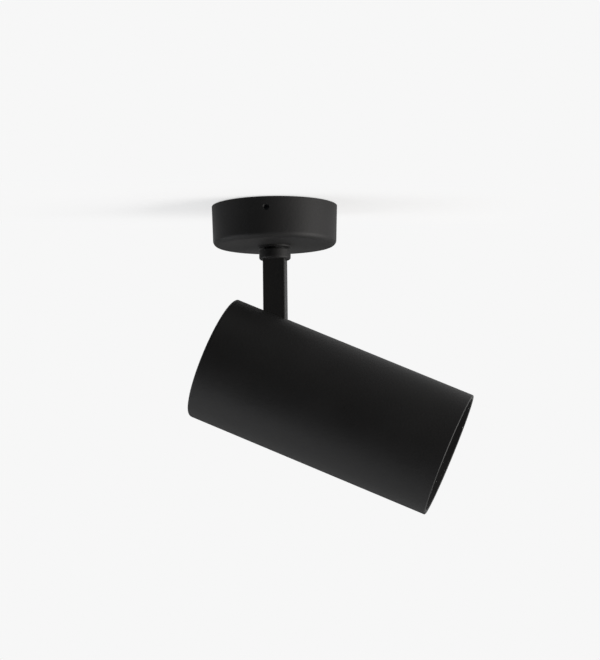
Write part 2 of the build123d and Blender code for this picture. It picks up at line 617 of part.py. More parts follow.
with BuildPart() as supply_lead:
    with BuildLine() as sheath_route:
        FilletPolyline(
            (0, SHEATH_END, FLEX_TOP),
            (0, 0, FLEX_TOP),
            (0, 0, STEM_TOP + LEAD_JOINT_GAP),
            radius=FLEX_BEND_RADIUS,
        )
    with BuildSketch(Plane(origin=sheath_route.line @ 0, z_dir=sheath_route.line % 0)):
        Circle(FLEX_RADIUS)
    sweep()
    for points in CORE_ROUTES:
        with BuildLine() as core_route:
            FilletPolyline(*points, radius=CORE_BEND_RADIUS)
        with BuildSketch(Plane(origin=core_route.line @ 0, z_dir=core_route.line % 0)):
            Circle(CORE_RADIUS)
        sweep()
supply_lead.part.label = "supply_lead"
export_step(supply_lead.part, "parts/supply_lead.step")

# --- Swivel's fixed pieces ----------------------------------------------------------------
with BuildPart() as swivel_bush:
    with BuildSketch(Plane.XY.offset(COLLAR_TOP)):
        Circle(BUSH_RADIUS)
    extrude(amount=FLOOR_TOP - COLLAR_TOP)
    with BuildSketch(Plane.XY.offset(FLOOR_TOP)):
        Circle(BUSH_FLANGE_RADIUS)
    extrude(amount=BUSH_FLANGE_THICKNESS)
    with BuildSketch(Plane.XY.offset(COLLAR_TOP)):
        Circle(TUBE_BORE)
    extrude(amount=BUSH_TOP - COLLAR_TOP, mode=Mode.SUBTRACT)
swivel_bush.part.label = "swivel_bush"
export_step(swivel_bush.part, "parts/swivel_bush.step")

with BuildPart() as stop_pin:
    with BuildSketch(Plane.XY.offset(FLOOR_TOP - STOP_PIN_DEPTH)):
        with Locations((-STOP_PIN_OFFSET, 0)):
            Circle(STOP_PIN_RADIUS)
    extrude(amount=SPRING_SEAT - FLOOR_TOP + STOP_PIN_DEPTH)
stop_pin.part.label = "stop_pin"
export_step(stop_pin.part, "parts/stop_pin.step")

# === Turns with the arm ===================================================================
with BuildPart() as swivel_stem:
    with BuildSketch(Plane.XY.offset(STEM_FOOT)):
        Circle(THREADED_TUBE_RADIUS)
        Circle(THREADED_TUBE_BORE_RADIUS, mode=Mode.SUBTRACT)
    extrude(amount=STEM_TOP - STEM_FOOT)
    with BuildSketch(Plane.XY.offset(STOP_WASHER_SEAT)):
        with Locations((THREADED_TUBE_RADIUS - STEM_FLAT_DEPTH, 0)):
            Rectangle(
                THREADED_TUBE_RADIUS,
                2 * THREADED_TUBE_RADIUS,
                align=(Align.MIN, Align.CENTER),
            )
    extrude(amount=STEM_TOP - STOP_WASHER_SEAT, mode=Mode.SUBTRACT)
swivel_stem.part.label = "swivel_stem"
export_step(swivel_stem.part, "parts/swivel_stem.step")

friction_washer = washers([Plane.XY.offset(BUSH_TOP)], WASHER_RADIUS, FRICTION_WASHER_THICKNESS)
friction_washer.part.label = "friction_washer"
export_step(friction_washer.part, "parts/friction_washer.step")

with BuildPart() as stop_washer:
    with BuildSketch(Plane.XY.offset(STOP_WASHER_SEAT)):
        Circle(WASHER_RADIUS)
        Rectangle(STOP_TAB_REACH, STOP_TAB_WIDTH, align=(Align.MIN, Align.CENTER))
        with BuildSketch(mode=Mode.SUBTRACT):
            Circle(TUBE_BORE)
            with Locations((THREADED_TUBE_RADIUS - STEM_FLAT_DEPTH + LOOSE_FIT, 0)):
                Rectangle(
                    THREADED_TUBE_RADIUS,
                    2 * WASHER_RADIUS,
                    align=(Align.MIN, Align.CENTER),
                    mode=Mode.SUBTRACT,
                )
    extrude(amount=STOP_WASHER_THICKNESS)
stop_washer.part.label = "stop_washer"
export_step(stop_washer.part, "parts/stop_washer.step")

disc_spring = disc_springs([Plane.XY.offset(SPRING_SEAT)], DISC_SPRING_HEIGHT, DISC_SPRING_THICKNESS)
disc_spring.part.label = "disc_spring"
export_step(disc_spring.part, "parts/disc_spring.step")

swivel_nuts = hex_nuts([Plane.XY.offset(NUT_SEAT), Plane.XY.offset(LOCK_NUT_SEAT)])
swivel_nuts.part.label = "swivel_nuts"
export_step(swivel_nuts.part, "parts/swivel_nuts.step")

with BuildPart() as swivel_collar:
    with BuildSketch(Plane.XZ):
        with Locations((TUBE_BORE, ARM_TOP)):
            Rectangle(
                COLLAR_RADIUS - TUBE_BORE,
                COLLAR_HEIGHT,
                align=(Align.MIN, Align.MIN),
            )
        fillet(vertices().group_by(Axis.Y)[0].sort_by(Axis.X)[-1], COLLAR_EDGE_RADIUS)
    revolve(axis=Axis.Z)
swivel_collar.part.label = "swivel_collar"
export_step(swivel_collar.part, "parts/swivel_collar.step")

with BuildPart() as arm:
    with BuildSketch(Plane.XY.offset(ARM_TOP)):
        RectangleRounded(ARM_SIDE, ARM_SIDE, ARM_EDGE_RADIUS)
    extrude(amount=-(PIVOT_DROP + ARM_TOP))
    with BuildSketch(TILT_AXIS_PLANE):
        Circle(ARM_SIDE / 2)
    extrude(amount=ARM_SIDE / 2, both=True)
    with BuildSketch(Plane.XY.offset(ARM_TOP)):
        Circle(TUBE_BORE)
    extrude(amount=-(STEM_IN_ARM + LOOSE_FIT), mode=Mode.SUBTRACT)
    with BuildSketch(Plane.XY.offset(ARM_TOP)):
        Circle(THREADED_TUBE_BORE_RADIUS)
    extrude(amount=-(PIVOT_DROP + ARM_TOP), mode=Mode.SUBTRACT)
    with BuildSketch(TILT_AXIS_PLANE):
        Circle(TUBE_BORE)
    extrude(amount=ARM_SIDE / 2, both=True, mode=Mode.SUBTRACT)
arm.part.label = "arm"
export_step(arm.part, "parts/arm.step")

with BuildPart() as pivot_tube:
    with BuildSketch(TILT_AXIS_PLANE):
        Circle(THREADED_TUBE_RADIUS)
        Circle(THREADED_TUBE_BORE_RADIUS, mode=Mode.SUBTRACT)
    extrude(amount=PIVOT_END, both=True)
    with BuildSketch(Plane.XY.offset(-PIVOT_DROP)):
        Circle(THREADED_TUBE_BORE_RADIUS)
    extrude(amount=THREADED_TUBE_RADIUS, mode=Mode.SUBTRACT)
pivot_tube.part.label = "pivot_tube"
export_step(pivot_tube.part, "parts/pivot_tube.step")

pivot_friction_washers = washers(
    [pivot_plane(side, ARM_SIDE / 2) for side in (-1, 1)], WASHER_RADIUS, PIVOT_FRICTION_THICKNESS
)
pivot_friction_washers.part.label = "pivot_friction_washers"
export_step(pivot_friction_washers.part, "parts/pivot_friction_washers.step")

pivot_washers = washers(
    [pivot_plane(side, PIVOT_WASHER_FACE) for side in (-1, 1)], WASHER_RADIUS, PIVOT_WASHER_THICKNESS
)
pivot_washers.part.label = "pivot_washers"
export_step(pivot_washers.part, "parts/pivot_washers.step")

pivot_springs = disc_springs(
    [pivot_plane(side, PIVOT_SPRING_FACE) for side in (-1, 1)],
    PIVOT_SPRING_HEIGHT,
    PIVOT_SPRING_THICKNESS,
)
pivot_springs.part.label = "pivot_springs"
export_step(pivot_springs.part, "parts/pivot_springs.step")

pivot_nuts = hex_nuts([pivot_plane(side, PIVOT_NUT_FACE) for side in (-1, 1)])
pivot_nuts.part.label = "pivot_nuts"
export_step(pivot_nuts.part, "parts/pivot_nuts.step")

arm_lead = lead(
    [
        (0, 0, STEM_TOP),
        (0, 0, -PIVOT_DROP),
        (0, -PIVOT_END, -PIVOT_DROP),
    ],
    FLEX_BEND_RADIUS,
    FLEX_RADIUS,
)
arm_lead.part.label = "arm_lead"
export_step(arm_lead.part, "parts/arm_lead.step")

# === Tilts with the head ==================================================================
# The slot ends where the arm's front face stands at rest, at the slot's lowest inner edge.
SLOT_INNER_HEIGHT = sqrt(HEAD_BORE_RADIUS**2 - SLOT_HALF_WIDTH**2)
SLOT_FRONT = (ARM_SIDE / 2 + ARM_SLOT_GAP - SLOT_INNER_HEIGHT * sin(TILT)) / cos(TILT)
CAP_SLOT_FOOT = -(ARM_SIDE / 2 + CAP_SLOT_GAP)

with BuildPart() as head_tube:
    with BuildSketch(HEAD_SIDE):
        with Locations((HEAD_REAR, HEAD_BORE_RADIUS)):
            Rectangle(HEAD_LENGTH, HEAD_WALL, align=(Align.MIN, Align.MIN))
        fillet(vertices().group_by(Axis.X)[0].sort_by(Axis.Y)[-1], HEAD_REAR_EDGE_RADIUS)
        chamfer(vertices().group_by(Axis.X)[-1], HEAD_RIM_CHAMFER)
    revolve(axis=HEAD_AXIS)
    with BuildSketch(HEAD_TOP):
        with Locations((SLOT_FRONT, 0)):
            Rectangle(
                HEAD_LENGTH,
                2 * SLOT_HALF_WIDTH,
                align=(Align.MAX, Align.CENTER),
            )
        fillet(vertices().group_by(Axis.X)[-1], SLOT_CORNER_RADIUS)
    extrude(amount=HEAD_RADIUS, mode=Mode.SUBTRACT)
    for forward in TUBE_SCREW_SPOTS:
        with Locations(Plane(origin=head_point(forward, HEAD_RADIUS, 0), z_dir=UP)):
            CounterSinkHole(
                M3_BORE,
                SUNK_BORE,
                2 * HEAD_WALL,
                counter_sink_angle=SUNK_ANGLE,
            )
head_tube.part.label = "head_tube"
export_step(head_tube.part, "parts/head_tube.step")

tube_screws = sunk_screws(
    HEAD_TOP.offset(HEAD_RADIUS - LOOSE_FIT),
    [(forward, 0) for forward in TUBE_SCREW_SPOTS],
    M3_SUNK,
    TUBE_SCREW_LENGTH,
)
tube_screws.part.label = "tube_screws"
export_step(tube_screws.part, "parts/tube_screws.step")

# --- Rear cap and its posts ---------------------------------------------------------------
POST_SPOTS = ((POST_UP, -POST_ACROSS), (POST_UP, POST_ACROSS))

with BuildPart() as rear_cap:
    with BuildSketch(HEAD.offset(CAP_BACK)):
        Circle(INSERT_RADIUS)
        with Locations((CAP_SLOT_FOOT, 0)):
            Rectangle(
                2 * HEAD_RADIUS,
                2 * SLOT_HALF_WIDTH,
                align=(Align.MIN, Align.CENTER),
                mode=Mode.SUBTRACT,
            )
    extrude(amount=CAP_THICKNESS)
    for up, across in POST_SPOTS:
        with Locations(Plane(origin=head_point(CAP_BACK, up, across), z_dir=-FORWARD)):
            CounterSinkHole(
                M3_BORE,
                SUNK_BORE,
                2 * CAP_THICKNESS,
                counter_sink_angle=SUNK_ANGLE,
            )
rear_cap.part.label = "rear_cap"
export_step(rear_cap.part, "parts/rear_cap.step")

rear_cap_screws = sunk_screws(
    facing_back(CAP_BACK + LOOSE_FIT), POST_SPOTS, M3_SUNK, CAP_SCREW_LENGTH
)
rear_cap_screws.part.label = "rear_cap_screws"
export_step(rear_cap_screws.part, "parts/rear_cap_screws.step")

with BuildPart() as spacer_posts:
    with BuildSketch(HEAD.offset(CAP_FRONT)):
        with Locations(*POST_SPOTS):
            RegularPolygon(POST_ACROSS_FLATS / 2, 6, major_radius=False)
    extrude(amount=SINK_BACK - CAP_FRONT)
    with BuildSketch(HEAD.offset(SINK_BACK)):
        with Locations(*POST_SPOTS):
            Circle(M3.radius)
    extrude(amount=POST_STUD_LENGTH)
    with BuildSketch(HEAD.offset(CAP_FRONT)):
        with Locations(*POST_SPOTS):
            Circle(M3_BORE)
    extrude(amount=CAP_SCREW_LENGTH, mode=Mode.SUBTRACT)
spacer_posts.part.label = "spacer_posts"
export_step(spacer_posts.part, "parts/spacer_posts.step")

# --- Yoke and heat sink -------------------------------------------------------------------
YOKE_SCREW_SPOTS = ((-YOKE_SCREW_SPACING / 2, 0), (YOKE_SCREW_SPACING / 2, 0))
TRAY_SCREW_SPOTS = ((TRAY_SCREW_UP, -TRAY_SCREW_ACROSS), (TRAY_SCREW_UP, TRAY_SCREW_ACROSS))
HOLDER_SCREW_SPOTS = ((0, -HOLDER_SCREW_OFFSET), (0, HOLDER_SCREW_OFFSET))
LED_WIRE_SPOTS = ((DRIVER_MIDDLE, -LED_WIRE_SPACING / 2), (DRIVER_MIDDLE, LED_WIRE_SPACING / 2))
LED_WIRE_PASS_RADIUS = LED_WIRE_SPACING / 2 + 2 * LED_WIRE_RADIUS
FIN_ROWS = 2 * int((INSERT_RADIUS - FIN_THICKNESS) / FIN_PITCH)

with BuildPart() as yoke:
    for side in (-1, 1):
        with BuildSketch(pivot_plane(side, YOKE_FACE, FORWARD)):
            Circle(YOKE_EYE_RADIUS)
            Rectangle(SINK_BACK, 2 * YOKE_EYE_RADIUS, align=(Align.MIN, Align.CENTER))
            Circle(TUBE_BORE, mode=Mode.SUBTRACT)
        extrude(amount=YOKE_THICKNESS)
    with BuildSketch(HEAD.offset(YOKE_BASE_BACK)):
        Rectangle(2 * YOKE_EYE_RADIUS, 2 * PIVOT_WASHER_FACE)
        with Locations(*YOKE_SCREW_SPOTS):
            Circle(M4_BORE, mode=Mode.SUBTRACT)
    extrude(amount=YOKE_THICKNESS)
yoke.part.label = "yoke"
export_step(yoke.part, "parts/yoke.step")

yoke_screws = pan_screws(facing_back(YOKE_BASE_BACK), YOKE_SCREW_SPOTS, M4, YOKE_SCREW_LENGTH)
yoke_screws.part.label = "yoke_screws"
export_step(yoke_screws.part, "parts/yoke_screws.step")

with BuildPart() as heat_sink:
    with BuildSketch(HEAD.offset(SINK_BACK)):
        with GridLocations(0, FIN_PITCH, 1, FIN_ROWS):
            Rectangle(2 * HEAD_RADIUS, FIN_THICKNESS)
        Circle(INSERT_RADIUS, mode=Mode.INTERSECT)
        Circle(SINK_CORE_RADIUS)
        with Locations(*POST_SPOTS, *TRAY_SCREW_SPOTS):
            Circle(SINK_BOSS_RADIUS)
    extrude(amount=FIN_LENGTH)
    with BuildSketch(HEAD.offset(FINS_FRONT)):
        Circle(INSERT_RADIUS)
        with Locations((DRIVER_MIDDLE, 0)):
            Circle(LED_WIRE_PASS_RADIUS, mode=Mode.SUBTRACT)
    extrude(amount=SINK_BASE)
    with BuildSketch(HEAD.offset(SINK_BACK)):
        with Locations(*YOKE_SCREW_SPOTS):
            Circle(M4_BORE)
    extrude(amount=YOKE_SCREW_LENGTH, mode=Mode.SUBTRACT)
    with BuildSketch(HEAD.offset(SINK_BACK)):
        with Locations(*POST_SPOTS, *TRAY_SCREW_SPOTS):
            Circle(M3_BORE)
    extrude(amount=TRAY_SCREW_LENGTH, mode=Mode.SUBTRACT)
    with BuildSketch(HEAD.offset(SINK_FRONT)):
        with Locations(*HOLDER_SCREW_SPOTS):
            Circle(M3_BORE)
    extrude(amount=-HOLDER_SCREW_LENGTH, mode=Mode.SUBTRACT)
    with BuildSketch(HEAD_TOP.offset(HEAD_RADIUS)):
        with Locations((TUBE_SCREW_SPOTS[0], 0)):
            Circle(M3_BORE)
    extrude(amount=-(TUBE_SCREW_LENGTH + LOOSE_FIT), mode=Mode.SUBTRACT)
heat_sink.part.label = "heat_sink"
export_step(heat_sink.part, "parts/heat_sink.step")

# --- Driver on its tray -------------------------------------------------------------------
TRAY_LENGTH = SINK_BACK - (DRIVER_FRONT - DRIVER_LENGTH)
TRAY_FOOT = TRAY_SCREW_UP - SINK_BOSS_RADIUS
DRIVER_SCREW_FORWARD = DRIVER_FRONT - DRIVER_LENGTH + 2 * M3.head_radius
DRIVER_SCREW_SPOTS = (
    (DRIVER_SCREW_FORWARD, -DRIVER_SCREW_ACROSS),
    (DRIVER_SCREW_FORWARD, DRIVER_SCREW_ACROSS),
)
INLET_FORWARD = DRIVER_FRONT - INLET_BACK
LEAD_ACROSS = LEAD_TO_WALL - HEAD_BORE_RADIUS

with BuildPart() as driver_tray:
    with BuildSketch(HEAD_TOP.offset(TRAY_TOP)):
        with Locations((SINK_BACK, 0)):
            Rectangle(TRAY_LENGTH, TRAY_WIDTH, align=(Align.MAX, Align.CENTER))
        with Locations(*DRIVER_SCREW_SPOTS):
            Circle(M3_BORE, mode=Mode.SUBTRACT)
    extrude(amount=-TRAY_THICKNESS)
    with BuildSketch(HEAD.offset(SINK_BACK)):
        with Locations((TRAY_TOP, 0)):
            Rectangle(TRAY_TOP - TRAY_FOOT, TRAY_WIDTH, align=(Align.MAX, Align.CENTER))
        with Locations(*TRAY_SCREW_SPOTS):
            Circle(M3_BORE, mode=Mode.SUBTRACT)
        with Locations((DRIVER_MIDDLE, 0)):
            Circle(LED_WIRE_PASS_RADIUS, mode=Mode.SUBTRACT)
    extrude(amount=-TRAY_THICKNESS)
driver_tray.part.label = "driver_tray"
export_step(driver_tray.part, "parts/driver_tray.step")

tray_screws = pan_screws(
    facing_back(SINK_BACK - TRAY_THICKNESS), TRAY_SCREW_SPOTS, M3, TRAY_SCREW_LENGTH
)
tray_screws.part.label = "tray_screws"
export_step(tray_screws.part, "parts/tray_screws.step")

with BuildPart() as driver:
    with BuildSketch(HEAD_TOP.offset(DRIVER_TOP)):
        with Locations((DRIVER_FRONT, 0)):
            Rectangle(DRIVER_LENGTH, DRIVER_WIDTH, align=(Align.MAX, Align.CENTER))
        fillet(vertices(), DRIVER_CORNER_RADIUS)
    extrude(amount=DRIVER_FOOT - DRIVER_TOP)
    with BuildSketch(HEAD_TOP.offset(DRIVER_TOP)):
        with Locations(*DRIVER_SCREW_SPOTS):
            Circle(M3_BORE)
    extrude(amount=-DRIVER_SCREW_LENGTH, mode=Mode.SUBTRACT)
    with BuildSketch(HEAD_SIDE.offset(DRIVER_WIDTH / 2)):
        with Locations((INLET_FORWARD, DRIVER_MIDDLE)):
            Circle(FLEX_RADIUS + LOOSE_FIT)
    extrude(amount=-INLET_DEPTH, mode=Mode.SUBTRACT)
    with BuildSketch(HEAD.offset(DRIVER_FRONT)):
        with Locations(*LED_WIRE_SPOTS):
            Circle(LED_WIRE_RADIUS + LOOSE_FIT)
    extrude(amount=-INLET_DEPTH, mode=Mode.SUBTRACT)
driver.part.label = "driver"
export_step(driver.part, "parts/driver.step")

driver_screws = pan_screws(HEAD_TOP.offset(TRAY_TOP), DRIVER_SCREW_SPOTS, M3, DRIVER_SCREW_LENGTH)
driver_screws.part.label = "driver_screws"
export_step(driver_screws.part, "parts/driver_screws.step")

head_lead = lead(
    [
        head_point(0, 0, -(PIVOT_END + LEAD_JOINT_GAP)),
        head_point(0, 0, LEAD_ACROSS),
        head_point(INLET_FORWARD, DRIVER_MIDDLE, LEAD_ACROSS),
        head_point(INLET_FORWARD, DRIVER_MIDDLE, INLET_DEPTH - DRIVER_WIDTH / 2 - LOOSE_FIT),
    ],
    HEAD_LEAD_BEND_RADIUS,
    FLEX_RADIUS,
)
head_lead.part.label = "head_lead"
export_step(head_lead.part, "parts/head_lead.step")

# --- Light source -------------------------------------------------------------------------
NOTCH_DEPTH = 3 * LED_WIRE_RADIUS + LOOSE_FIT
LED_WIRE_FORWARD = SINK_FRONT + NOTCH_DEPTH - LED_WIRE_RADIUS - LOOSE_FIT
NOTCH_TOP = -(BOARD_SIDE / 2 + HOLDER_NOTCH_GAP)

with BuildPart() as led_leads:
    for up, across in LED_WIRE_SPOTS:
        with BuildLine() as wire_route:
            FilletPolyline(
                head_point(DRIVER_FRONT - INLET_DEPTH + LOOSE_FIT, up, across),
                head_point(LED_WIRE_FORWARD, up, across),
                head_point(LED_WIRE_FORWARD, NOTCH_TOP - LOOSE_FIT, across),
                radius=LED_WIRE_BEND_RADIUS,
            )
        with BuildSketch(Plane(origin=wire_route.line @ 0, z_dir=wire_route.line % 0)):
            Circle(LED_WIRE_RADIUS)
        sweep()
led_leads.part.label = "led_leads"
export_step(led_leads.part, "parts/led_leads.step")

with BuildPart() as led_board:
    with BuildSketch(HEAD.offset(SINK_FRONT)):
        Rectangle(BOARD_SIDE, BOARD_SIDE)
    extrude(amount=BOARD_THICKNESS)
led_board.part.label = "led_board"
export_step(led_board.part, "parts/led_board.step")

with BuildPart() as led_emitter:
    with BuildSketch(HEAD.offset(SINK_FRONT + BOARD_THICKNESS)):
        Circle(EMITTER_RADIUS)
    extrude(amount=EMITTER_THICKNESS)
led_emitter.part.label = "led_emitter"
export_step(led_emitter.part, "parts/led_emitter.step")

with BuildPart() as led_holder:
    with BuildSketch(HEAD.offset(SINK_FRONT)):
        Circle(HOLDER_RADIUS)
    extrude(amount=HOLDER_THICKNESS)
    with BuildSketch(HEAD.offset(SINK_FRONT)):
        Rectangle(BOARD_SIDE + 2 * LOOSE_FIT, BOARD_SIDE + 2 * LOOSE_FIT)
    extrude(amount=BOARD_THICKNESS, mode=Mode.SUBTRACT)
    with BuildSketch(HEAD.offset(SINK_FRONT)):
        with Locations((NOTCH_TOP, 0)):
            Rectangle(HOLDER_RADIUS, 2 * LED_WIRE_PASS_RADIUS, align=(Align.MAX, Align.CENTER))
    extrude(amount=NOTCH_DEPTH, mode=Mode.SUBTRACT)
    with BuildSketch(HEAD.offset(SINK_FRONT + BOARD_THICKNESS)):
        Circle(EMITTER_RADIUS + EMITTER_GAP)
    with BuildSketch(HEAD.offset(REFLECTOR_BACK)):
        Circle(REFLECTOR_THROAT_RADIUS)
    loft(mode=Mode.SUBTRACT)
    with BuildSketch(HEAD.offset(SINK_FRONT)):
        with Locations(*HOLDER_SCREW_SPOTS):
            Circle(M3_BORE)
    extrude(amount=HOLDER_THICKNESS, mode=Mode.SUBTRACT)
    with BuildSketch(HEAD.offset(REFLECTOR_BACK)):
        with Locations(*HOLDER_SCREW_SPOTS):
            Circle(M3.head_radius + LOOSE_FIT)
    extrude(amount=-(M3.head_height + LOOSE_FIT), mode=Mode.SUBTRACT)
led_holder.part.label = "led_holder"
export_step(led_holder.part, "parts/led_holder.step")

holder_screws = pan_screws(
    HEAD.offset(REFLECTOR_BACK - M3.head_height - LOOSE_FIT),
    HOLDER_SCREW_SPOTS,
    M3,
    HOLDER_SCREW_LENGTH,
)
holder_screws.part.label = "holder_screws"
export_step(holder_screws.part, "parts/holder_screws.step")

# --- Optics -------------------------------------------------------------------------------
REFLECTOR_MIDDLE = (REFLECTOR_BACK + REFLECTOR_FRONT) / 2
REFLECTOR_WIDENING = REFLECTOR_MOUTH_RADIUS - REFLECTOR_THROAT_RADIUS
REFLECTOR_WAIST = REFLECTOR_THROAT_RADIUS + REFLECTOR_BULGE * REFLECTOR_WIDENING
FLANGE_BACK = REFLECTOR_FRONT - REFLECTOR_FLANGE

with BuildPart() as reflector:
    with BuildSketch(HEAD_SIDE):
        with BuildLine():
            ThreePointArc(
                (REFLECTOR_BACK, REFLECTOR_THROAT_RADIUS),
                (REFLECTOR_MIDDLE, REFLECTOR_WAIST),
                (REFLECTOR_FRONT, REFLECTOR_MOUTH_RADIUS),
            )
            Polyline(
                (REFLECTOR_FRONT, REFLECTOR_MOUTH_RADIUS),
                (REFLECTOR_FRONT, OPTIC_RADIUS),
                (FLANGE_BACK, OPTIC_RADIUS),
                (FLANGE_BACK, REFLECTOR_MOUTH_RADIUS + REFLECTOR_WALL),
            )
            ThreePointArc(
                (FLANGE_BACK, REFLECTOR_MOUTH_RADIUS + REFLECTOR_WALL),
                (REFLECTOR_MIDDLE - REFLECTOR_WALL / 2, REFLECTOR_WAIST + REFLECTOR_WALL),
                (REFLECTOR_BACK, REFLECTOR_THROAT_RADIUS + REFLECTOR_WALL),
            )
            Line(
                (REFLECTOR_BACK, REFLECTOR_THROAT_RADIUS + REFLECTOR_WALL),
                (REFLECTOR_BACK, REFLECTOR_THROAT_RADIUS),
            )
        make_face()
    revolve(axis=HEAD_AXIS)
reflector.part.label = "reflector"
export_step(reflector.part, "parts/reflector.step")

with BuildPart() as glass_gasket:
    with BuildSketch(HEAD.offset(REFLECTOR_FRONT)):
        Circle(OPTIC_RADIUS)
        Circle(REFLECTOR_MOUTH_RADIUS, mode=Mode.SUBTRACT)
    extrude(amount=GASKET_THICKNESS)
glass_gasket.part.label = "glass_gasket"
export_step(glass_gasket.part, "parts/glass_gasket.step")

with BuildPart() as front_glass:
    with BuildSketch(HEAD.offset(GASKET_FRONT)):
        Circle(OPTIC_RADIUS)
    extrude(amount=GLASS_THICKNESS)
    chamfer(edges().filter_by(GeomType.CIRCLE), HEAD_RIM_CHAMFER)
front_glass.part.label = "front_glass"
export_step(front_glass.part, "parts/front_glass.step")

with BuildPart() as baffle_ring:
    with BuildSketch(HEAD_SIDE):
        with BuildLine():
            Polyline(
                (FLANGE_BACK, BAFFLE_POCKET_RADIUS),
                (GLASS_FRONT, BAFFLE_POCKET_RADIUS),
                (GLASS_FRONT, BAFFLE_THROAT_RADIUS),
                (BAFFLE_FRONT, BAFFLE_MOUTH_RADIUS),
                (BAFFLE_FRONT, INSERT_RADIUS),
                (FLANGE_BACK, INSERT_RADIUS),
                close=True,
            )
        make_face()
    revolve(axis=HEAD_AXIS)
    with BuildSketch(HEAD_TOP.offset(HEAD_RADIUS)):
        with Locations((TUBE_SCREW_SPOTS[1], 0)):
            Circle(M3_BORE)
    extrude(amount=-(HEAD_WALL + TUBE_SCREW_LENGTH), mode=Mode.SUBTRACT)
baffle_ring.part.label = "baffle_ring"
export_step(baffle_ring.part, "parts/baffle_ring.step")
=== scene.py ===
"""Looks, studio and camera for a surface mounted ceiling spotlight.

The canopy is screwed to a ceiling at z = 0. A square arm turns under it and carries a cylindrical
head, which points to +X and down at rest.
"""

import logging
import math
from collections.abc import Iterable, Sequence
from dataclasses import dataclass, field
from enum import Enum, IntEnum
from functools import cache
from typing import Any, ClassVar

import bmesh
import bpy
from mathutils import Matrix, Vector


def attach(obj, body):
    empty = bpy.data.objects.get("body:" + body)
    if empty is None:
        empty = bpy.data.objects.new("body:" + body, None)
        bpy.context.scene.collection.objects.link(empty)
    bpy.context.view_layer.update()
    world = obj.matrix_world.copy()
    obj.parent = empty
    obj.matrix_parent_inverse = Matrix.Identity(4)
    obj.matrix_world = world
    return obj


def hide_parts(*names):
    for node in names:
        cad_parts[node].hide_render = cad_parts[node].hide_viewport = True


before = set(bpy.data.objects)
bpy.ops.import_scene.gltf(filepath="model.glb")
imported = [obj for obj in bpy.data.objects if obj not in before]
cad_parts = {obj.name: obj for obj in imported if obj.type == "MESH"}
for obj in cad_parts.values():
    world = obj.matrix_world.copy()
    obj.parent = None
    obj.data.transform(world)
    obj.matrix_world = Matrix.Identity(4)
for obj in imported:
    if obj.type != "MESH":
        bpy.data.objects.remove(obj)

LOG = logging.getLogger("spotlight")
MM = 0.001
NOISE_AVERAGE = 0.5

Triple = tuple[float, float, float]
Span = tuple[float, float]

XYZ: tuple[Triple, ...] = ((1, 0, 0), (0, 1, 0), (0, 0, 1))


class Body(Enum):
    """The bodies that turn against each other."""

    BASE = "base"
    ARM = "swivel_arm"
    HEAD = "lamp_head"


@dataclass(frozen=True)
class HeadLine:
    """The head's axis: where it crosses the tilt axis, and how far it points down."""

    pivot: Triple = (0.0, 0.0, -113 * MM)
    tilt: float = math.radians(23.5)

    @property
    def forward(self) -> Vector:
        """Unit vector along the head towards its open end."""
        return Vector((math.cos(self.tilt), 0.0, -math.sin(self.tilt)))

    @property
    def up(self) -> Vector:
        """Unit vector square to the head's axis, towards the arm."""
        return Vector((math.sin(self.tilt), 0.0, math.cos(self.tilt)))

    def point(self, forward: float, up: float, across: float) -> Vector:
        """Turns a place in the head into a point of the shared frame.

        Args:
            forward: Metres along the axis from the tilt axis.
            up: Metres towards the arm.
            across: Metres along +Y.

        Returns:
            The point, in metres.
        """
        return Vector(self.pivot) + self.forward * forward + self.up * up + Vector((0, across, 0))


HEAD_LINE = HeadLine()


# --- Shader graphs --------------------------------------------------
@dataclass(frozen=True)
class Noise:
    """Cloudy noise: the width of a patch in metres, the octaves, and the finer ones' share."""

    size: float
    detail: float = 2.0
    rough: float = 0.5


class MixSocket(IntEnum):
    """Numbers of a Mix node's colour sockets, because their names repeat."""

    SHARE = 0
    FIRST = 6
    SECOND = 7
    RESULT = 2


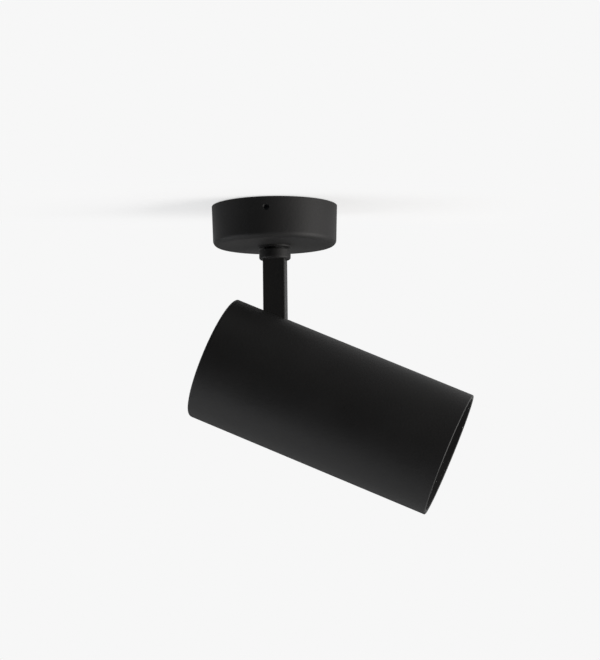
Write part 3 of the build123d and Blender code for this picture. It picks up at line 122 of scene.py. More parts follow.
class Value:
    """A number in a shader, which Python's operators extend with Math nodes."""

    def __init__(self, graph: "Graph", socket: bpy.types.NodeSocket) -> None:
        """Wraps an output socket of the graph."""
        self.graph = graph
        self.socket = socket

    def _math(self, operation: str, *terms: "Value | float") -> "Value":
        """Adds one Math node.

        Args:
            operation: The node's operation.
            terms: Its inputs, in order.

        Returns:
            The node's result.
        """
        node = self.graph.node("ShaderNodeMath", {"operation": operation}, dict(enumerate(terms)))
        return Value(self.graph, node.outputs[0])

    def __add__(self, other: "Value | float") -> "Value":
        """Sum."""
        return self._math("ADD", self, other)

    __radd__ = __add__

    def __sub__(self, other: "Value | float") -> "Value":
        """Difference."""
        return self._math("SUBTRACT", self, other)

    def __rsub__(self, other: float) -> "Value":
        """Difference with a plain number first."""
        return self._math("SUBTRACT", other, self)

    def __mul__(self, other: "Value | float") -> "Value":
        """Product."""
        return self._math("MULTIPLY", self, other)

    __rmul__ = __mul__

    def __truediv__(self, other: "Value | float") -> "Value":
        """Quotient."""
        return self._math("DIVIDE", self, other)

    def __rtruediv__(self, other: float) -> "Value":
        """Quotient with a plain number first."""
        return self._math("DIVIDE", other, self)

    def __abs__(self) -> "Value":
        """Size without sign."""
        return self._math("ABSOLUTE", self)

    def larger(self, other: "Value | float") -> "Value":
        """The larger of two numbers."""
        return self._math("MAXIMUM", self, other)

    def zigzag(self, period: float) -> "Value":
        """A triangle wave from 0 to 1 and back within one period."""
        return self._math("PINGPONG", self / (period / 2), 1.0)

    def sway(self, amount: float) -> "Value":
        """Noise as a change up or down, which is nothing at the noise's average."""
        return (self - NOISE_AVERAGE) * amount

    def step(self, low: float, high: float) -> "Value":
        """Runs smoothly from 0 at the low value to 1 at the high one.

        Args:
            low: Where the result is 0.
            high: Where the result is 1. It may be below the low value.

        Returns:
            The share, from 0 to 1.
        """
        settings = {"interpolation_type": "SMOOTHSTEP"}
        inputs = {"Value": self, "From Min": low, "From Max": high}
        return Value(self.graph, self.graph.node("ShaderNodeMapRange", settings, inputs).outputs[0])


class Graph:
    """One node tree and the calls that fill it."""

    def __init__(self, tree: bpy.types.NodeTree, coordinates: str = "Object") -> None:
        """Empties the tree and takes the place that its patterns follow, in metres.

        Args:
            tree: The tree.
            coordinates: The Texture Coordinate node's output that gives the place.
        """
        self.tree = tree
        tree.nodes.clear()
        self.place = self.node("ShaderNodeTexCoord").outputs[coordinates]

    def node(
        self,
        kind: str,
        settings: dict[str, Any] | None = None,
        inputs: dict[str | int, Any] | None = None,
    ) -> bpy.types.Node:
        """Adds a node.

        Args:
            kind: The node's type.
            settings: Properties, set before the inputs.
            inputs: Values, sockets or Value objects by socket name or number.

        Returns:
            The node.
        """
        node = self.tree.nodes.new(kind)
        for name, value in (settings or {}).items():
            setattr(node, name, value)
        for name, value in (inputs or {}).items():
            self.link(value, node.inputs[name])
        return node

    def link(self, value: Any, target: bpy.types.NodeSocket) -> None:
        """Feeds a socket from a Value, an output socket or a plain number, vector or colour.

        Args:
            value: What feeds the socket.
            target: The input socket.
        """
        if isinstance(value, Value):
            value = value.socket
        if isinstance(value, bpy.types.NodeSocket):
            self.tree.links.new(value, target)
        elif target.type == "RGBA":
            target.default_value = (*value, 1.0)
        else:
            target.default_value = value

    def along(self, direction: Iterable[float], origin: Iterable[float]) -> Value:
        """Distance of the shaded point along a direction.

        Args:
            direction: Unit vector.
            origin: Where the distance is 0.

        Returns:
            Metres from the origin.
        """
        axis = tuple(direction)
        start = Vector(tuple(origin)).dot(Vector(axis))
        inputs = {0: self.place, 1: axis}
        node = self.node("ShaderNodeVectorMath", {"operation": "DOT_PRODUCT"}, inputs)
        return Value(self, node.outputs["Value"]) - start

    def local(
        self, axes: Sequence[Iterable[float]], origin: Iterable[float] = (0, 0, 0)
    ) -> list[Value]:
        """Coordinates of the shaded point in other axes."""
        return [self.along(axis, origin) for axis in axes]

    def vector(
        self, x: "Value | float", y: "Value | float", z: "Value | float"
    ) -> bpy.types.NodeSocket:
        """Three numbers as one vector."""
        return self.node("ShaderNodeCombineXYZ", None, {0: x, 1: y, 2: z}).outputs[0]

    def noise(self, kind: Noise, place: bpy.types.NodeSocket | None = None) -> Value:
        """Adds cloudy noise.

        Args:
            kind: The noise's sizes.
            place: The place that it follows, if that isn't the shaded point.

        Returns:
            About 0.3 to 0.7, and 0.5 on average.
        """
        inputs = {
            "Vector": self.place if place is None else place,
            "Scale": 1.0 / kind.size,
            "Detail": kind.detail,
            "Roughness": kind.rough,
        }
        return Value(self, self.node("ShaderNodeTexNoise", None, inputs).outputs[0])

    def cells(self, size: float) -> Value:
        """Distance from the middles of random cells, from 0 to about 1."""
        inputs = {"Vector": self.place, "Scale": 1.0 / size}
        return Value(self, self.node("ShaderNodeTexVoronoi", None, inputs).outputs["Distance"])

    def blend(self, share: "Value | float", first: Any, second: Any) -> bpy.types.NodeSocket:
        """Mixes two colours.

        Args:
            share: 0 gives the first colour and 1 the second.
            first: Colour or colour socket.
            second: Colour or colour socket.

        Returns:
            The mixed colour.
        """
        inputs = {MixSocket.SHARE: share, MixSocket.FIRST: first, MixSocket.SECOND: second}
        return self.node("ShaderNodeMix", {"data_type": "RGBA"}, inputs).outputs[MixSocket.RESULT]

    def mix_shaders(
        self, share: Value, first: bpy.types.Node, second: bpy.types.Node
    ) -> bpy.types.Node:
        """Mixes two shaders: a share of 0 gives the first and 1 the second."""
        inputs = {0: share, 1: first.outputs[0], 2: second.outputs[0]}
        return self.node("ShaderNodeMixShader", None, inputs)


class Surface(Graph):
    """The graph of a finish, with one Principled shader."""

    def __init__(self, tree: bpy.types.NodeTree) -> None:
        """Empties the tree and adds the shader."""
        super().__init__(tree)
        self.shader = self.node("ShaderNodeBsdfPrincipled")
        self.node("ShaderNodeOutputMaterial", None, {"Surface": self.shader.outputs[0]})

    def set(self, name: str, value: Any) -> None:
        """Feeds one of the shader's sockets."""
        self.link(value, self.shader.inputs[name])

    def show(self, tone: bpy.types.NodeSocket, matt: Value) -> None:
        """Feeds the shader's colour and roughness."""
        self.set("Base Color", tone)
        self.set("Roughness", matt)

    def emboss(self, height: Value, depth: float) -> None:
        """Bends the shader's normal.

        Args:
            height: The surface's height, from 0 to 1.
            depth: Metres that a height of 1 stands for.
        """
        bump = self.node("ShaderNodeBump", None, {"Height": height, "Distance": depth, "Strength": 1.0})
        self.set("Normal", bump.outputs[0])


# --- Finishes -------------------------------------------------------
def grey(level: float) -> Triple:
    """A neutral colour."""
    return (level, level, level)


@dataclass(frozen=True)
class Band:
    """A strip along an edge, where a finish is handled and rubbed most.

    The mask is 1 beyond high, and 0 before low, along the direction from the origin.
    """

    direction: Triple
    origin: Triple
    low: float
    high: float

    def mask(self, graph: Graph) -> Value:
        """The strip as a number from 0 to 1."""
        return graph.along(self.direction, self.origin).step(self.low, self.high)


@dataclass(frozen=True)
class Finish:
    """A surface finish. Each kind paints its own nodes.

    In every kind a span is where a mask runs from 0 to 1, a tone is a factor of the colour, a share
    is how much of it shows, and matt is how far the roughness changes.
    """

    name: str
    colour: Triple
    roughness: float
    metallic: float = 0.0

    @cache
    def material(self) -> bpy.types.Material:
        """Makes the finish's material, the first time that it is asked for.

        Returns:
            A material with one Principled shader, painted by this finish.
        """
        made = bpy.data.materials.new(self.name)
        made.use_nodes = True
        surface = Surface(made.node_tree)
        surface.set("Base Color", self.colour)
        surface.set("Roughness", self.roughness)
        surface.set("Metallic", self.metallic)
        self.paint(surface)
        return made

    def paint(self, surface: Surface) -> None:
        """Adds what this kind of finish shows. A plain finish adds nothing.

        Args:
            surface: The material's graph.
        """

    def shade(self, tone: float) -> Triple:
        """The finish's colour made lighter or darker."""
        return tuple(min(1.0, part * tone) for part in self.colour)


@dataclass(frozen=True)
class PowderCoat(Finish):
    """Fine matt powder coat: a soft peel, a fine grain, faint handling marks and rubbed edges."""

    peel: Noise = Noise(1.5 * MM, 1.0)
    grain: Noise = Noise(0.42 * MM, 2.0, 0.6)
    cloud: Noise = Noise(34 * MM, 3.0)
    depth: float = 0.1 * MM
    peel_share: float = 0.6
    specular: float = 0.25
    cloud_span: Span = (0.3, 0.7)
    cloud_tones: Span = (0.88, 1.12)
    cloud_matt: float = 0.08
    fleck_span: Span = (0.52, 0.75)
    fleck_share: float = 0.35
    fleck_tone: float = 1.8
    grain_matt: float = 0.1
    worn_span: Span = (0.3, 0.6)
    worn_share: float = 0.5
    worn_tone: float = 2.2
    worn_matt: float = 0.08
    bands: tuple[Band, ...] = ()

    def paint(self, surface: Surface) -> None:
        """Adds peel, grain, clouding and rubbed edges.

        Args:
            surface: The material's graph.
        """
        surface.set("Specular IOR Level", self.specular)
        peel, grain, cloud = (surface.noise(kind) for kind in (self.peel, self.grain, self.cloud))
        rubbed: Value | None = None
        for band in self.bands:
            strip = band.mask(surface)
            rubbed = strip.larger(rubbed) if rubbed else strip
        tone = surface.blend(cloud.step(*self.cloud_span), *map(self.shade, self.cloud_tones))
        fleck = grain.step(*self.fleck_span) * self.fleck_share
        tone = surface.blend(fleck, tone, self.shade(self.fleck_tone))
        matt = self.roughness + cloud.sway(self.cloud_matt) + grain.sway(self.grain_matt)
        if rubbed:
            worn = rubbed * grain.step(*self.worn_span)
            tone = surface.blend(worn * self.worn_share, tone, self.shade(self.worn_tone))
            matt = matt - worn * self.worn_matt
        surface.show(tone, matt)
        surface.emboss(peel * self.peel_share + grain * (1 - self.peel_share), self.depth)


@dataclass(frozen=True)
class PlatedSteel(Finish):
    """Zinc plate on steel: faint cloudy tints, fine rolling lines and small scuffs."""

    metallic: float = 1.0
    tint: Triple = (0.62, 0.6, 0.52)
    tint_span: Span = (0.35, 0.7)
    cloud: Noise = Noise(7 * MM, 3.0, 0.6)
    cloud_matt: float = 0.15
    lines: Triple = (1.0, 1.0, 1.0)
    line: Noise = Noise(0.35 * MM, 3.0, 0.6)
    line_matt: float = 0.12
    line_relief: float = 0.7
    scuff: Noise = Noise(1.6 * MM, 4.0, 0.7)
    scuff_span: Span = (0.58, 0.72)
    scuff_share: float = 0.5
    scuff_tone: float = 0.75
    scuff_matt: float = 0.12
    depth: float = 0.012 * MM

    def paint(self, surface: Surface) -> None:
        """Adds tints, rolling lines and scuffs.

        Args:
            surface: The material's graph.
        """
        parts = surface.local(XYZ)
        stretched = surface.vector(*(part * share for part, share in zip(parts, self.lines)))
        cloud = surface.noise(self.cloud)
        line = surface.noise(self.line, stretched)
        scuff = surface.noise(self.scuff, stretched).step(*self.scuff_span)
        tone = surface.blend(cloud.step(*self.tint_span), self.colour, self.tint)
        tone = surface.blend(scuff * self.scuff_share, tone, self.shade(self.scuff_tone))
        matt = self.roughness + cloud.sway(self.cloud_matt) + scuff * self.scuff_matt
        surface.show(tone, matt + line.sway(self.line_matt))
        surface.emboss(line * self.line_relief + scuff * (1 - self.line_relief), self.depth)


@dataclass(frozen=True)
class ThreadedSteel(Finish):
    """Plated tube with a rolled thread along one line, with painted shade in the thread's roots."""

    metallic: float = 1.0
    line: Triple = (0.0, 0.0, 1.0)
    origin: Triple = (0.0, 0.0, 0.0)
    pitch: float = 1.0 * MM
    depth: float = 0.25 * MM
    root_shade_span: Span = (0.05, 0.5)
    root_shade_tone: float = 0.4
    root_matt: float = 0.2
    cloud: Noise = Noise(5 * MM, 3.0)
    cloud_matt: float = 0.1

    def paint(self, surface: Surface) -> None:
        """Adds the thread's ridges, rougher roots and painted shade that darkens the roots.

        Args:
            surface: The material's graph.
        """
        ridge = surface.along(self.line, self.origin).zigzag(self.pitch)
        cloud = surface.noise(self.cloud)
        # Painted shade: the colour is darkened in the thread's roots, where shade falls.
        tone = surface.blend(ridge.step(*self.root_shade_span), self.shade(self.root_shade_tone), self.colour)
        matt = self.roughness + (1.0 - ridge) * self.root_matt + cloud.sway(self.cloud_matt)
        surface.show(tone, matt)
        surface.emboss(ridge, self.depth)


@dataclass(frozen=True)
class BareAluminium(Finish):
    """Extruded and machined aluminium with drawing lines along the head."""

    metallic: float = 1.0
    line: Noise = Noise(0.25 * MM, 3.0, 0.6)
    line_stretch: float = 0.03
    line_span: Span = (0.3, 0.7)
    line_tones: Span = (0.8, 1.1)
    line_matt: float = 0.3
    cloud: Noise = Noise(12 * MM, 3.0)
    cloud_span: Span = (0.5, 0.75)
    cloud_share: float = 0.4
    cloud_tone: float = 0.7
    cloud_matt: float = 0.1
    depth: float = 0.02 * MM

    def paint(self, surface: Surface) -> None:
        """Adds drawing lines and dull patches.

        Args:
            surface: The material's graph.
        """
        axes = (HEAD_LINE.forward, HEAD_LINE.up, XYZ[1])
        run, up, across = surface.local(axes, HEAD_LINE.pivot)
        line = surface.noise(self.line, surface.vector(run * self.line_stretch, up, across))
        cloud = surface.noise(self.cloud)
        tone = surface.blend(line.step(*self.line_span), *map(self.shade, self.line_tones))
        patch = cloud.step(*self.cloud_span) * self.cloud_share
        tone = surface.blend(patch, tone, self.shade(self.cloud_tone))
        matt = self.roughness + line.sway(self.line_matt) + cloud.sway(self.cloud_matt)
        surface.show(tone, matt)
        surface.emboss(line, self.depth)


@dataclass(frozen=True)
class BrightReflector(Finish):
    """Bright anodised aluminium with faint spinning rings and a hazy film."""

    metallic: float = 1.0
    ring: Noise = Noise(0.35 * MM)
    ring_matt: float = 0.1
    haze: Noise = Noise(9 * MM, 3.0)
    haze_span: Span = (0.3, 0.7)
    haze_tone: float = 0.93
    haze_matt: float = 0.08
    depth: float = 0.004 * MM

    def paint(self, surface: Surface) -> None:
        """Adds spinning rings and haze.

        Args:
            surface: The material's graph.
        """
        run = surface.along(HEAD_LINE.forward, HEAD_LINE.pivot)
        ring = surface.noise(self.ring, surface.vector(run, 0.0, 0.0))
        haze = surface.noise(self.haze)
        tone = surface.blend(haze.step(*self.haze_span), self.shade(self.haze_tone), self.colour)
        surface.show(tone, self.roughness + ring.sway(self.ring_matt) + haze.sway(self.haze_matt))
        surface.emboss(ring, self.depth)


@dataclass(frozen=True)
class Moulded(Finish):
    """Injection moulded plastic: spark-eroded grain, flow clouding and a few darker specks."""

    grain: float = 0.5 * MM
    grain_rough: float = 0.6
    grain_matt: float = 0.15
    depth: float = 0.03 * MM
    cloud: Noise = Noise(11 * MM)
    cloud_span: Span = (0.3, 0.7)
    cloud_tones: Span = (0.94, 1.05)
    cloud_matt: float = 0.06
    speck: float = 1.7 * MM
    speck_span: Span = (0.12, 0.05)
    speck_share: float = 0.15
    speck_tone: float = 0.6

    def paint(self, surface: Surface) -> None:
        """Adds grain, clouding and specks.

        Args:
            surface: The material's graph.
        """
        grain = surface.noise(Noise(self.grain, rough=self.grain_rough))
        cloud = surface.noise(self.cloud)
        speck = surface.cells(self.speck).step(*self.speck_span)
        tone = surface.blend(cloud.step(*self.cloud_span), *map(self.shade, self.cloud_tones))
        tone = surface.blend(speck * self.speck_share, tone, self.shade(self.speck_tone))
        surface.show(tone, self.roughness + grain.sway(self.grain_matt) + cloud.sway(self.cloud_matt))
        surface.emboss(grain, self.depth)


@dataclass(frozen=True)
class SoftRubber(Finish):
    """Extruded or moulded rubber with a pale bloom in patches."""

    bloom: float = 0.35
    bloom_span: Span = (0.45, 0.75)
    bloom_tone: float = 2.6
    cloud: Noise = Noise(5 * MM, 4.0, 0.6)
    cloud_matt: float = 0.2
    drag: Noise = Noise(0.4 * MM)
    depth: float = 0.02 * MM

    def paint(self, surface: Surface) -> None:
        """Adds bloom and a fine drag texture.

        Args:
            surface: The material's graph.
        """
        cloud = surface.noise(self.cloud)
        bloom = cloud.step(*self.bloom_span) * self.bloom
        tone = surface.blend(bloom, self.colour, self.shade(self.bloom_tone))
        surface.show(tone, self.roughness + cloud.sway(self.cloud_matt))
        surface.emboss(surface.noise(self.drag), self.depth)


@dataclass(frozen=True)
class CableCores(Finish):
    """Black sheath that opens into brown, blue and green-yellow cores under the plate."""

    sheath_end: float = -7.2 * MM
    earth_across: float = 6.2 * MM
    earth_height: float = -3.9 * MM
    edge: float = 0.2 * MM
    live: Triple = (0.30, 0.10, 0.04)
    neutral: Triple = (0.03, 0.12, 0.45)
    earth: Triple = (0.12, 0.42, 0.06)
    stripe: Triple = (0.75, 0.62, 0.04)
    stripe_period: float = 6 * MM
    stripe_span: Span = (0.45, 0.55)
    drag: Noise = Noise(0.4 * MM)
    drag_matt: float = 0.2
    depth: float = 0.02 * MM

    def paint(self, surface: Surface) -> None:
        """Adds each core's colour by its place.

        Args:
            surface: The material's graph.
        """
        across, back, height = surface.local(XYZ)
        drag = surface.noise(self.drag)
        half = self.edge / 2
        pole = surface.blend(across.step(-half, half), self.live, self.neutral)
        stripes = (across + back + height).zigzag(self.stripe_period).step(*self.stripe_span)
        bond = surface.blend(stripes, self.earth, self.stripe)
        beside = (abs(across) - self.earth_across).step(0.0, self.edge)
        above = (height - self.earth_height).step(0.0, self.edge)
        core = surface.blend(beside.larger(above), pole, bond)
        bare = back.step(self.sheath_end, self.sheath_end - half)
        surface.show(surface.blend(bare, self.colour, core), self.roughness + drag.sway(self.drag_matt))
        surface.emboss(drag, self.depth)


@dataclass(frozen=True)
class Phosphor(Finish):
    """Yellow silicone over the light-emitting chips, with the chips showing through."""

    chip: float = 1.3 * MM
    chip_span: Span = (0.35, 0.6)
    chip_share: float = 0.5
    chip_tone: float = 0.62
    grain: Noise = Noise(0.25 * MM)
    grain_matt: float = 0.1
    fill: Triple = (1.0, 0.9, 0.45)
    fill_span: Span = (0.5, 0.8)
    fill_share: float = 0.3
    depth: float = 0.015 * MM

    def paint(self, surface: Surface) -> None:
        """Adds the chips' grid and a grainy fill.

        Args:
            surface: The material's graph.
        """
        columns, rows = (
            part.zigzag(self.chip).step(*self.chip_span)
            for part in surface.local((HEAD_LINE.up, XYZ[1]), HEAD_LINE.pivot)
        )
        grain = surface.noise(self.grain)
        chips = columns * rows * self.chip_share
        tone = surface.blend(chips, self.colour, self.shade(self.chip_tone))
        tone = surface.blend(grain.step(*self.fill_span) * self.fill_share, tone, self.fill)
        surface.show(tone, self.roughness + grain.sway(self.grain_matt))
        surface.emboss(grain, self.depth)


@dataclass(frozen=True)
class ClearGlass(Finish):
    """Clear toughened glass with a few dust specks and a faint wipe."""

    ior: float = 1.5
    wipe: Noise = Noise(14 * MM, 3.0, 0.6)
    wipe_span: Span = (0.5, 0.8)
    wipe_matt: float = 0.04
    dust: float = 4 * MM
    dust_span: Span = (0.035, 0.015)
    dust_matt: float = 0.4
    dust_share: float = 0.6
    dust_colour: Triple = grey(0.6)

    def paint(self, surface: Surface) -> None:
        """Adds wipe marks and specks to the clear pane.

        Args:
            surface: The material's graph.
        """
        surface.set("Transmission Weight", 1.0)
        surface.set("IOR", self.ior)
        wipe = surface.noise(self.wipe).step(*self.wipe_span)
        dust = surface.cells(self.dust).step(*self.dust_span)
        matt = self.roughness + wipe * self.wipe_matt + dust * self.dust_matt
        surface.show(surface.blend(dust * self.dust_share, self.colour, self.dust_colour), matt)


def band_along_head(low: float, high: float) -> Band:
    """A strip that starts at a distance along the head.

    Args:
        low: Metres forward of the tilt axis where the strip begins.
        high: Metres forward of the tilt axis where it is full.

    Returns:
        The strip.
    """
    return Band(tuple(HEAD_LINE.forward), HEAD_LINE.pivot, low, high)


COAT = grey(0.014)


class Finishes:
    """Every finish on the light."""

    HEAD_COAT = PowderCoat(
        "head_powder_coat",
        COAT,
        0.6,
        bands=(band_along_head(116.7 * MM, 117.3 * MM), band_along_head(-42.2 * MM, -43.3 * MM)),
    )
    CANOPY_COAT = PowderCoat("canopy_powder_coat", COAT, 0.6)
    ARM_COAT = PowderCoat("arm_powder_coat", COAT, 0.6)
    BAFFLE_COAT = PowderCoat("baffle_dead_matt", grey(0.004), 0.85, specular=0.2)
    # Black bush plastic, made darker still as painted shade for the gap between canopy and collar.
    BUSH_WITH_GAP_SHADE = Moulded("bush_plastic_with_gap_shade", grey(0.005), 0.85)
    BLACK_SCREW = PlatedSteel("black_oxide_screw", grey(0.022), 0.45, tint=(0.02, 0.021, 0.026))
    ZINC = PlatedSteel("zinc_plate", (0.63, 0.64, 0.66), 0.3)
    ZINC_LINES = PlatedSteel("zinc_sheet", (0.63, 0.64, 0.66), 0.34, lines=(0.06, 1.0, 1.0))
    SPRING = PlatedSteel("spring_steel", (0.32, 0.31, 0.3), 0.33, tint=(0.3, 0.26, 0.2))
    STEM_THREAD = ThreadedSteel("stem_thread", (0.6, 0.61, 0.63), 0.3)
    AXLE_THREAD = ThreadedSteel("axle_thread", (0.6, 0.61, 0.63), 0.3, line=(0.0, 1.0, 0.0))
    BRASS = PlatedSteel("turned_brass", (0.75, 0.55, 0.25), 0.28, tint=(0.68, 0.5, 0.26))
    TINNED = PlatedSteel("tinned_copper", (0.72, 0.7, 0.66), 0.36, tint=(0.66, 0.6, 0.52))
    ALUMINIUM = BareAluminium("extruded_aluminium", (0.6, 0.61, 0.63), 0.4)
    BOARD = Moulded("board_white_mask", (0.82, 0.83, 0.8), 0.35, grain=0.8 * MM)
    REFLECTOR = BrightReflector("bright_reflector", (0.88, 0.89, 0.9), 0.08)
    HOLDER = Moulded("holder_plastic", (0.82, 0.82, 0.8), 0.45)
    DRIVER = Moulded("driver_case", (0.78, 0.78, 0.76), 0.5, grain=0.7 * MM)
    BLOCK = Moulded("terminal_plastic", (0.78, 0.76, 0.7), 0.4)
    FRICTION = Moulded("friction_plastic", (0.82, 0.8, 0.74), 0.35, grain=0.9 * MM)
    GROMMET = SoftRubber("grommet_rubber", grey(0.02), 0.7)
    SHEATH = SoftRubber("flex_sheath", grey(0.022), 0.55, bloom=0.2)
    CORES = CableCores("flex_with_cores", grey(0.022), 0.5)
    LED_WIRE = Moulded("led_wire_red", (0.5, 0.03, 0.02), 0.4, grain=0.3 * MM)
    GASKET = SoftRubber("gasket_silicone", grey(0.4), 0.5, bloom=0.1)
    GLASS = ClearGlass("clear_glass", (0.97, 0.985, 0.98), 0.01)
    DAM = SoftRubber("dam_silicone", grey(0.78), 0.4, bloom=0.05)
    PHOSPHOR = Phosphor("phosphor_silicone", (0.9, 0.62, 0.1), 0.35)


# --- Turned pieces --------------------------------------------------
class Zone(IntEnum):
    """Surfaces of a turned piece. The edges between two of them are sharp."""

    INSIDE = 0
    MOUTH = 1
    FLANGE_EDGE = 2
    FLANGE_BACK = 3
    OUTSIDE = 4
    END = 5


@dataclass(frozen=True)
class Ring:
    """One ring of a turned piece in the head, and the surface that starts from it."""

    forward: float
    radius: float
    zone: Zone


@dataclass
class TurnedPiece:
    """A closed surface of rings round the head's axis, with a relief pressed into it."""

    name: str
    segments: int = 144

    def rings(self) -> list[Ring]:
        """The rings, in order round the piece's section."""
        raise NotImplementedError

    def relief(self, ring: int, segment: int) -> float:
        """How far a point stands off its ring, towards the axis."""
        return 0.0

    def facet(self, ring: int, segment: int) -> tuple[int, int]:
        """The facet that a face belongs to. Edges between facets are sharp."""
        return (self.rings()[ring].zone, 0)

    def build(self, body: Body, slot: str, finish: Finish) -> bpy.types.Object:
        """Makes the piece.

        Args:
            body: What it rides on.
            slot: A material slot's name. Not used.
            finish: Its finish.

        Returns:
            The piece's object.
        """
        rings = self.rings()
        mesh = bmesh.new()
        grid = [
            [self._vertex(mesh, ring, place, turn) for turn in range(self.segments)]
            for place, ring in enumerate(rings)
        ]
        facets: dict[bmesh.types.BMFace, tuple[int, int]] = {}
        for place in range(len(rings)):
            after = (place + 1) % len(rings)
            for turn in range(self.segments):
                right = (turn + 1) % self.segments
                corners = (grid[place][turn], grid[place][right], grid[after][right], grid[after][turn])
                facets[mesh.faces.new(corners)] = self.facet(place, turn)
        for edge in mesh.edges:
            first, second = edge.link_faces
            edge.smooth = facets[first] == facets[second]
        for face in mesh.faces:
            face.smooth = True
        bmesh.ops.recalc_face_normals(mesh, faces=mesh.faces)
        data = bpy.data.meshes.new(self.name)
        mesh.to_mesh(data)
        mesh.free()
        data.materials.append(finish.material())
        piece = bpy.data.objects.new(self.name, data)
        bpy.context.collection.objects.link(piece)
        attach(piece, body.value)
        LOG.info("%s: %d faces", self.name, len(data.polygons))
        return piece

    def _vertex(
        self, mesh: bmesh.types.BMesh, ring: Ring, place: int, turn: int
    ) -> bmesh.types.BMVert:
        """Adds one point of a ring.

        Args:
            mesh: The mesh being made.
            ring: The point's ring.
            place: The ring's number.
            turn: The point's number round the ring.

        Returns:
            The new vertex.
        """
        angle = 2 * math.pi * turn / self.segments
        radius = ring.radius - self.relief(place, turn)
        up, across = radius * math.cos(angle), radius * math.sin(angle)
        return mesh.verts.new(HEAD_LINE.point(ring.forward, up, across))


def arc_through(first: Vector, middle: Vector, last: Vector, steps: int) -> list[Vector]:
    """Points on the arc through three points of a plane.

    Args:
        first: Start of the arc.
        middle: A point on it.
        last: End of the arc.
        steps: Number of equal steps.

    Returns:
        The points, with both ends.
    """
    span, half = last - first, middle - first
    turn = 2 * (span.y * half.x - span.x * half.y)
    centre = first + Vector(
        (
            (half.y * span.length_squared - span.y * half.length_squared) / turn,
            (span.x * half.length_squared - half.x * span.length_squared) / turn,
        )
    )
    start, end = first - centre, last - centre
    sweep = math.atan2(start.x * end.y - start.y * end.x, start.dot(end))
    return [centre + Matrix.Rotation(sweep * step / steps, 2) @ start for step in range(steps + 1)]


@dataclass
class FacetedReflector(TurnedPiece):
    """Pressed reflector: pillowed facets inside, smooth outside, and a flat flange at its mouth."""

    name: str = "faceted_reflector"
    back: float = 50.5 * MM
    front: float = 78.5 * MM
    throat: float = 10.5 * MM
    waist: float = 27.375 * MM
    mouth: float = 33.0 * MM
    flange_radius: float = 36.0 * MM
    wall: float = 1.0 * MM
    flange: float = 1.2 * MM
    facet_rows: int = 11
    facet_columns: int = 36
    row_steps: int = 4
    pillow: float = 0.32 * MM

    def __post_init__(self) -> None:
        """Works out the section once."""
        middle = (self.back + self.front) / 2
        steps = self.facet_rows * self.row_steps
        inside = arc_through(
            Vector((self.back, self.throat)),
            Vector((middle, self.waist)),
            Vector((self.front, self.mouth)),
            steps,
        )
        outside = arc_through(
            Vector((self.front - self.flange, self.mouth + self.wall)),
            Vector((middle - self.wall / 2, self.waist + self.wall)),
            Vector((self.back, self.throat + self.wall)),
            steps,
        )
        rings = [Ring(point.x, point.y, Zone.INSIDE) for point in inside]
        rings[-1] = Ring(self.front, self.mouth, Zone.MOUTH)
        rings.append(Ring(self.front, self.flange_radius, Zone.FLANGE_EDGE))
        rings.append(Ring(self.front - self.flange, self.flange_radius, Zone.FLANGE_BACK))
        rings += [Ring(point.x, point.y, Zone.OUTSIDE) for point in outside]
        rings[-1] = Ring(self.back, self.throat + self.wall, Zone.END)
        self._rings = rings

    def rings(self) -> list[Ring]:
        """Inside from throat to mouth, flange, then outside back to the throat."""
        return self._rings

    def _columns(self, ring: int, segment: float) -> float:
        """Place round the reflector, counted in facets; every other row is shifted by half."""
        return segment * self.facet_columns / self.segments + 0.5 * ((ring // self.row_steps) % 2)

    def relief(self, ring: int, segment: int) -> float:
        """The pillow of a facet: highest in its middle and nothing at its borders.

        Args:
            ring: The point's ring.
            segment: The point's number round the ring.

        Returns:
            Metres that the point stands off, towards the axis.
        """
        if ring >= self.facet_rows * self.row_steps:
            return 0.0
        along = 2 * (ring % self.row_steps) / self.row_steps - 1
        across = 2 * (self._columns(ring, segment) % 1.0) - 1
        size = self._rings[ring].radius / self.mouth
        return self.pillow * size * (1 - along**2) * (1 - across**2)

    def facet(self, ring: int, segment: int) -> tuple[int, int]:
        """Facets inside, and one zone for each other surface.

        Args:
            ring: The ring that the face starts from.
            segment: The face's number round the ring.

        Returns:
            Row and column of the facet, or a negative zone.
        """
        zone = self._rings[ring].zone
        if zone is not Zone.INSIDE:
            return (-zone, 0)
        return (ring // self.row_steps, int(self._columns(ring, segment + 0.5)) % self.facet_columns)


@dataclass
class SiliconeDam(TurnedPiece):
    """Dispensed silicone bead round the phosphor, a little uneven where it was closed."""

    name: str = "silicone_dam"
    segments: int = 120
    foot: float = 47.0 * MM
    inner: float = 7.0 * MM
    bead: float = 0.75 * MM
    height: float = 0.95 * MM
    waver: float = 0.015 * MM
    waves: int = 7
    lump: float = 0.05 * MM
    lump_angle: float = 4.0
    lump_spread: float = 0.09
    steps: int = 10

    def rings(self) -> list[Ring]:
        """Works out a half-round bead on the board.

        Returns:
            The rings from its inner to its outer foot.
        """
        made = []
        for step in range(self.steps + 1):
            turn = math.pi * step / self.steps
            radius = self.inner + self.bead / 2 * (1 - math.cos(turn))
            zone = Zone.END if step == self.steps else Zone.OUTSIDE
            made.append(Ring(self.foot + self.height * math.sin(turn), radius, zone))
        return made

    def relief(self, ring: int, segment: int) -> float:
        """A slow waver, and a lump on the outside where the bead closes.

        Args:
            ring: The point's ring.
            segment: The point's number round the ring.

        Returns:
            Metres that the point stands off, towards the axis.
        """
        angle = 2 * math.pi * segment / self.segments
        waver = self.waver * math.sin(self.waves * angle)
        if ring <= self.steps // 2:
            return waver
        return waver - self.lump * math.exp(-(((angle - self.lump_angle) / self.lump_spread) ** 2))


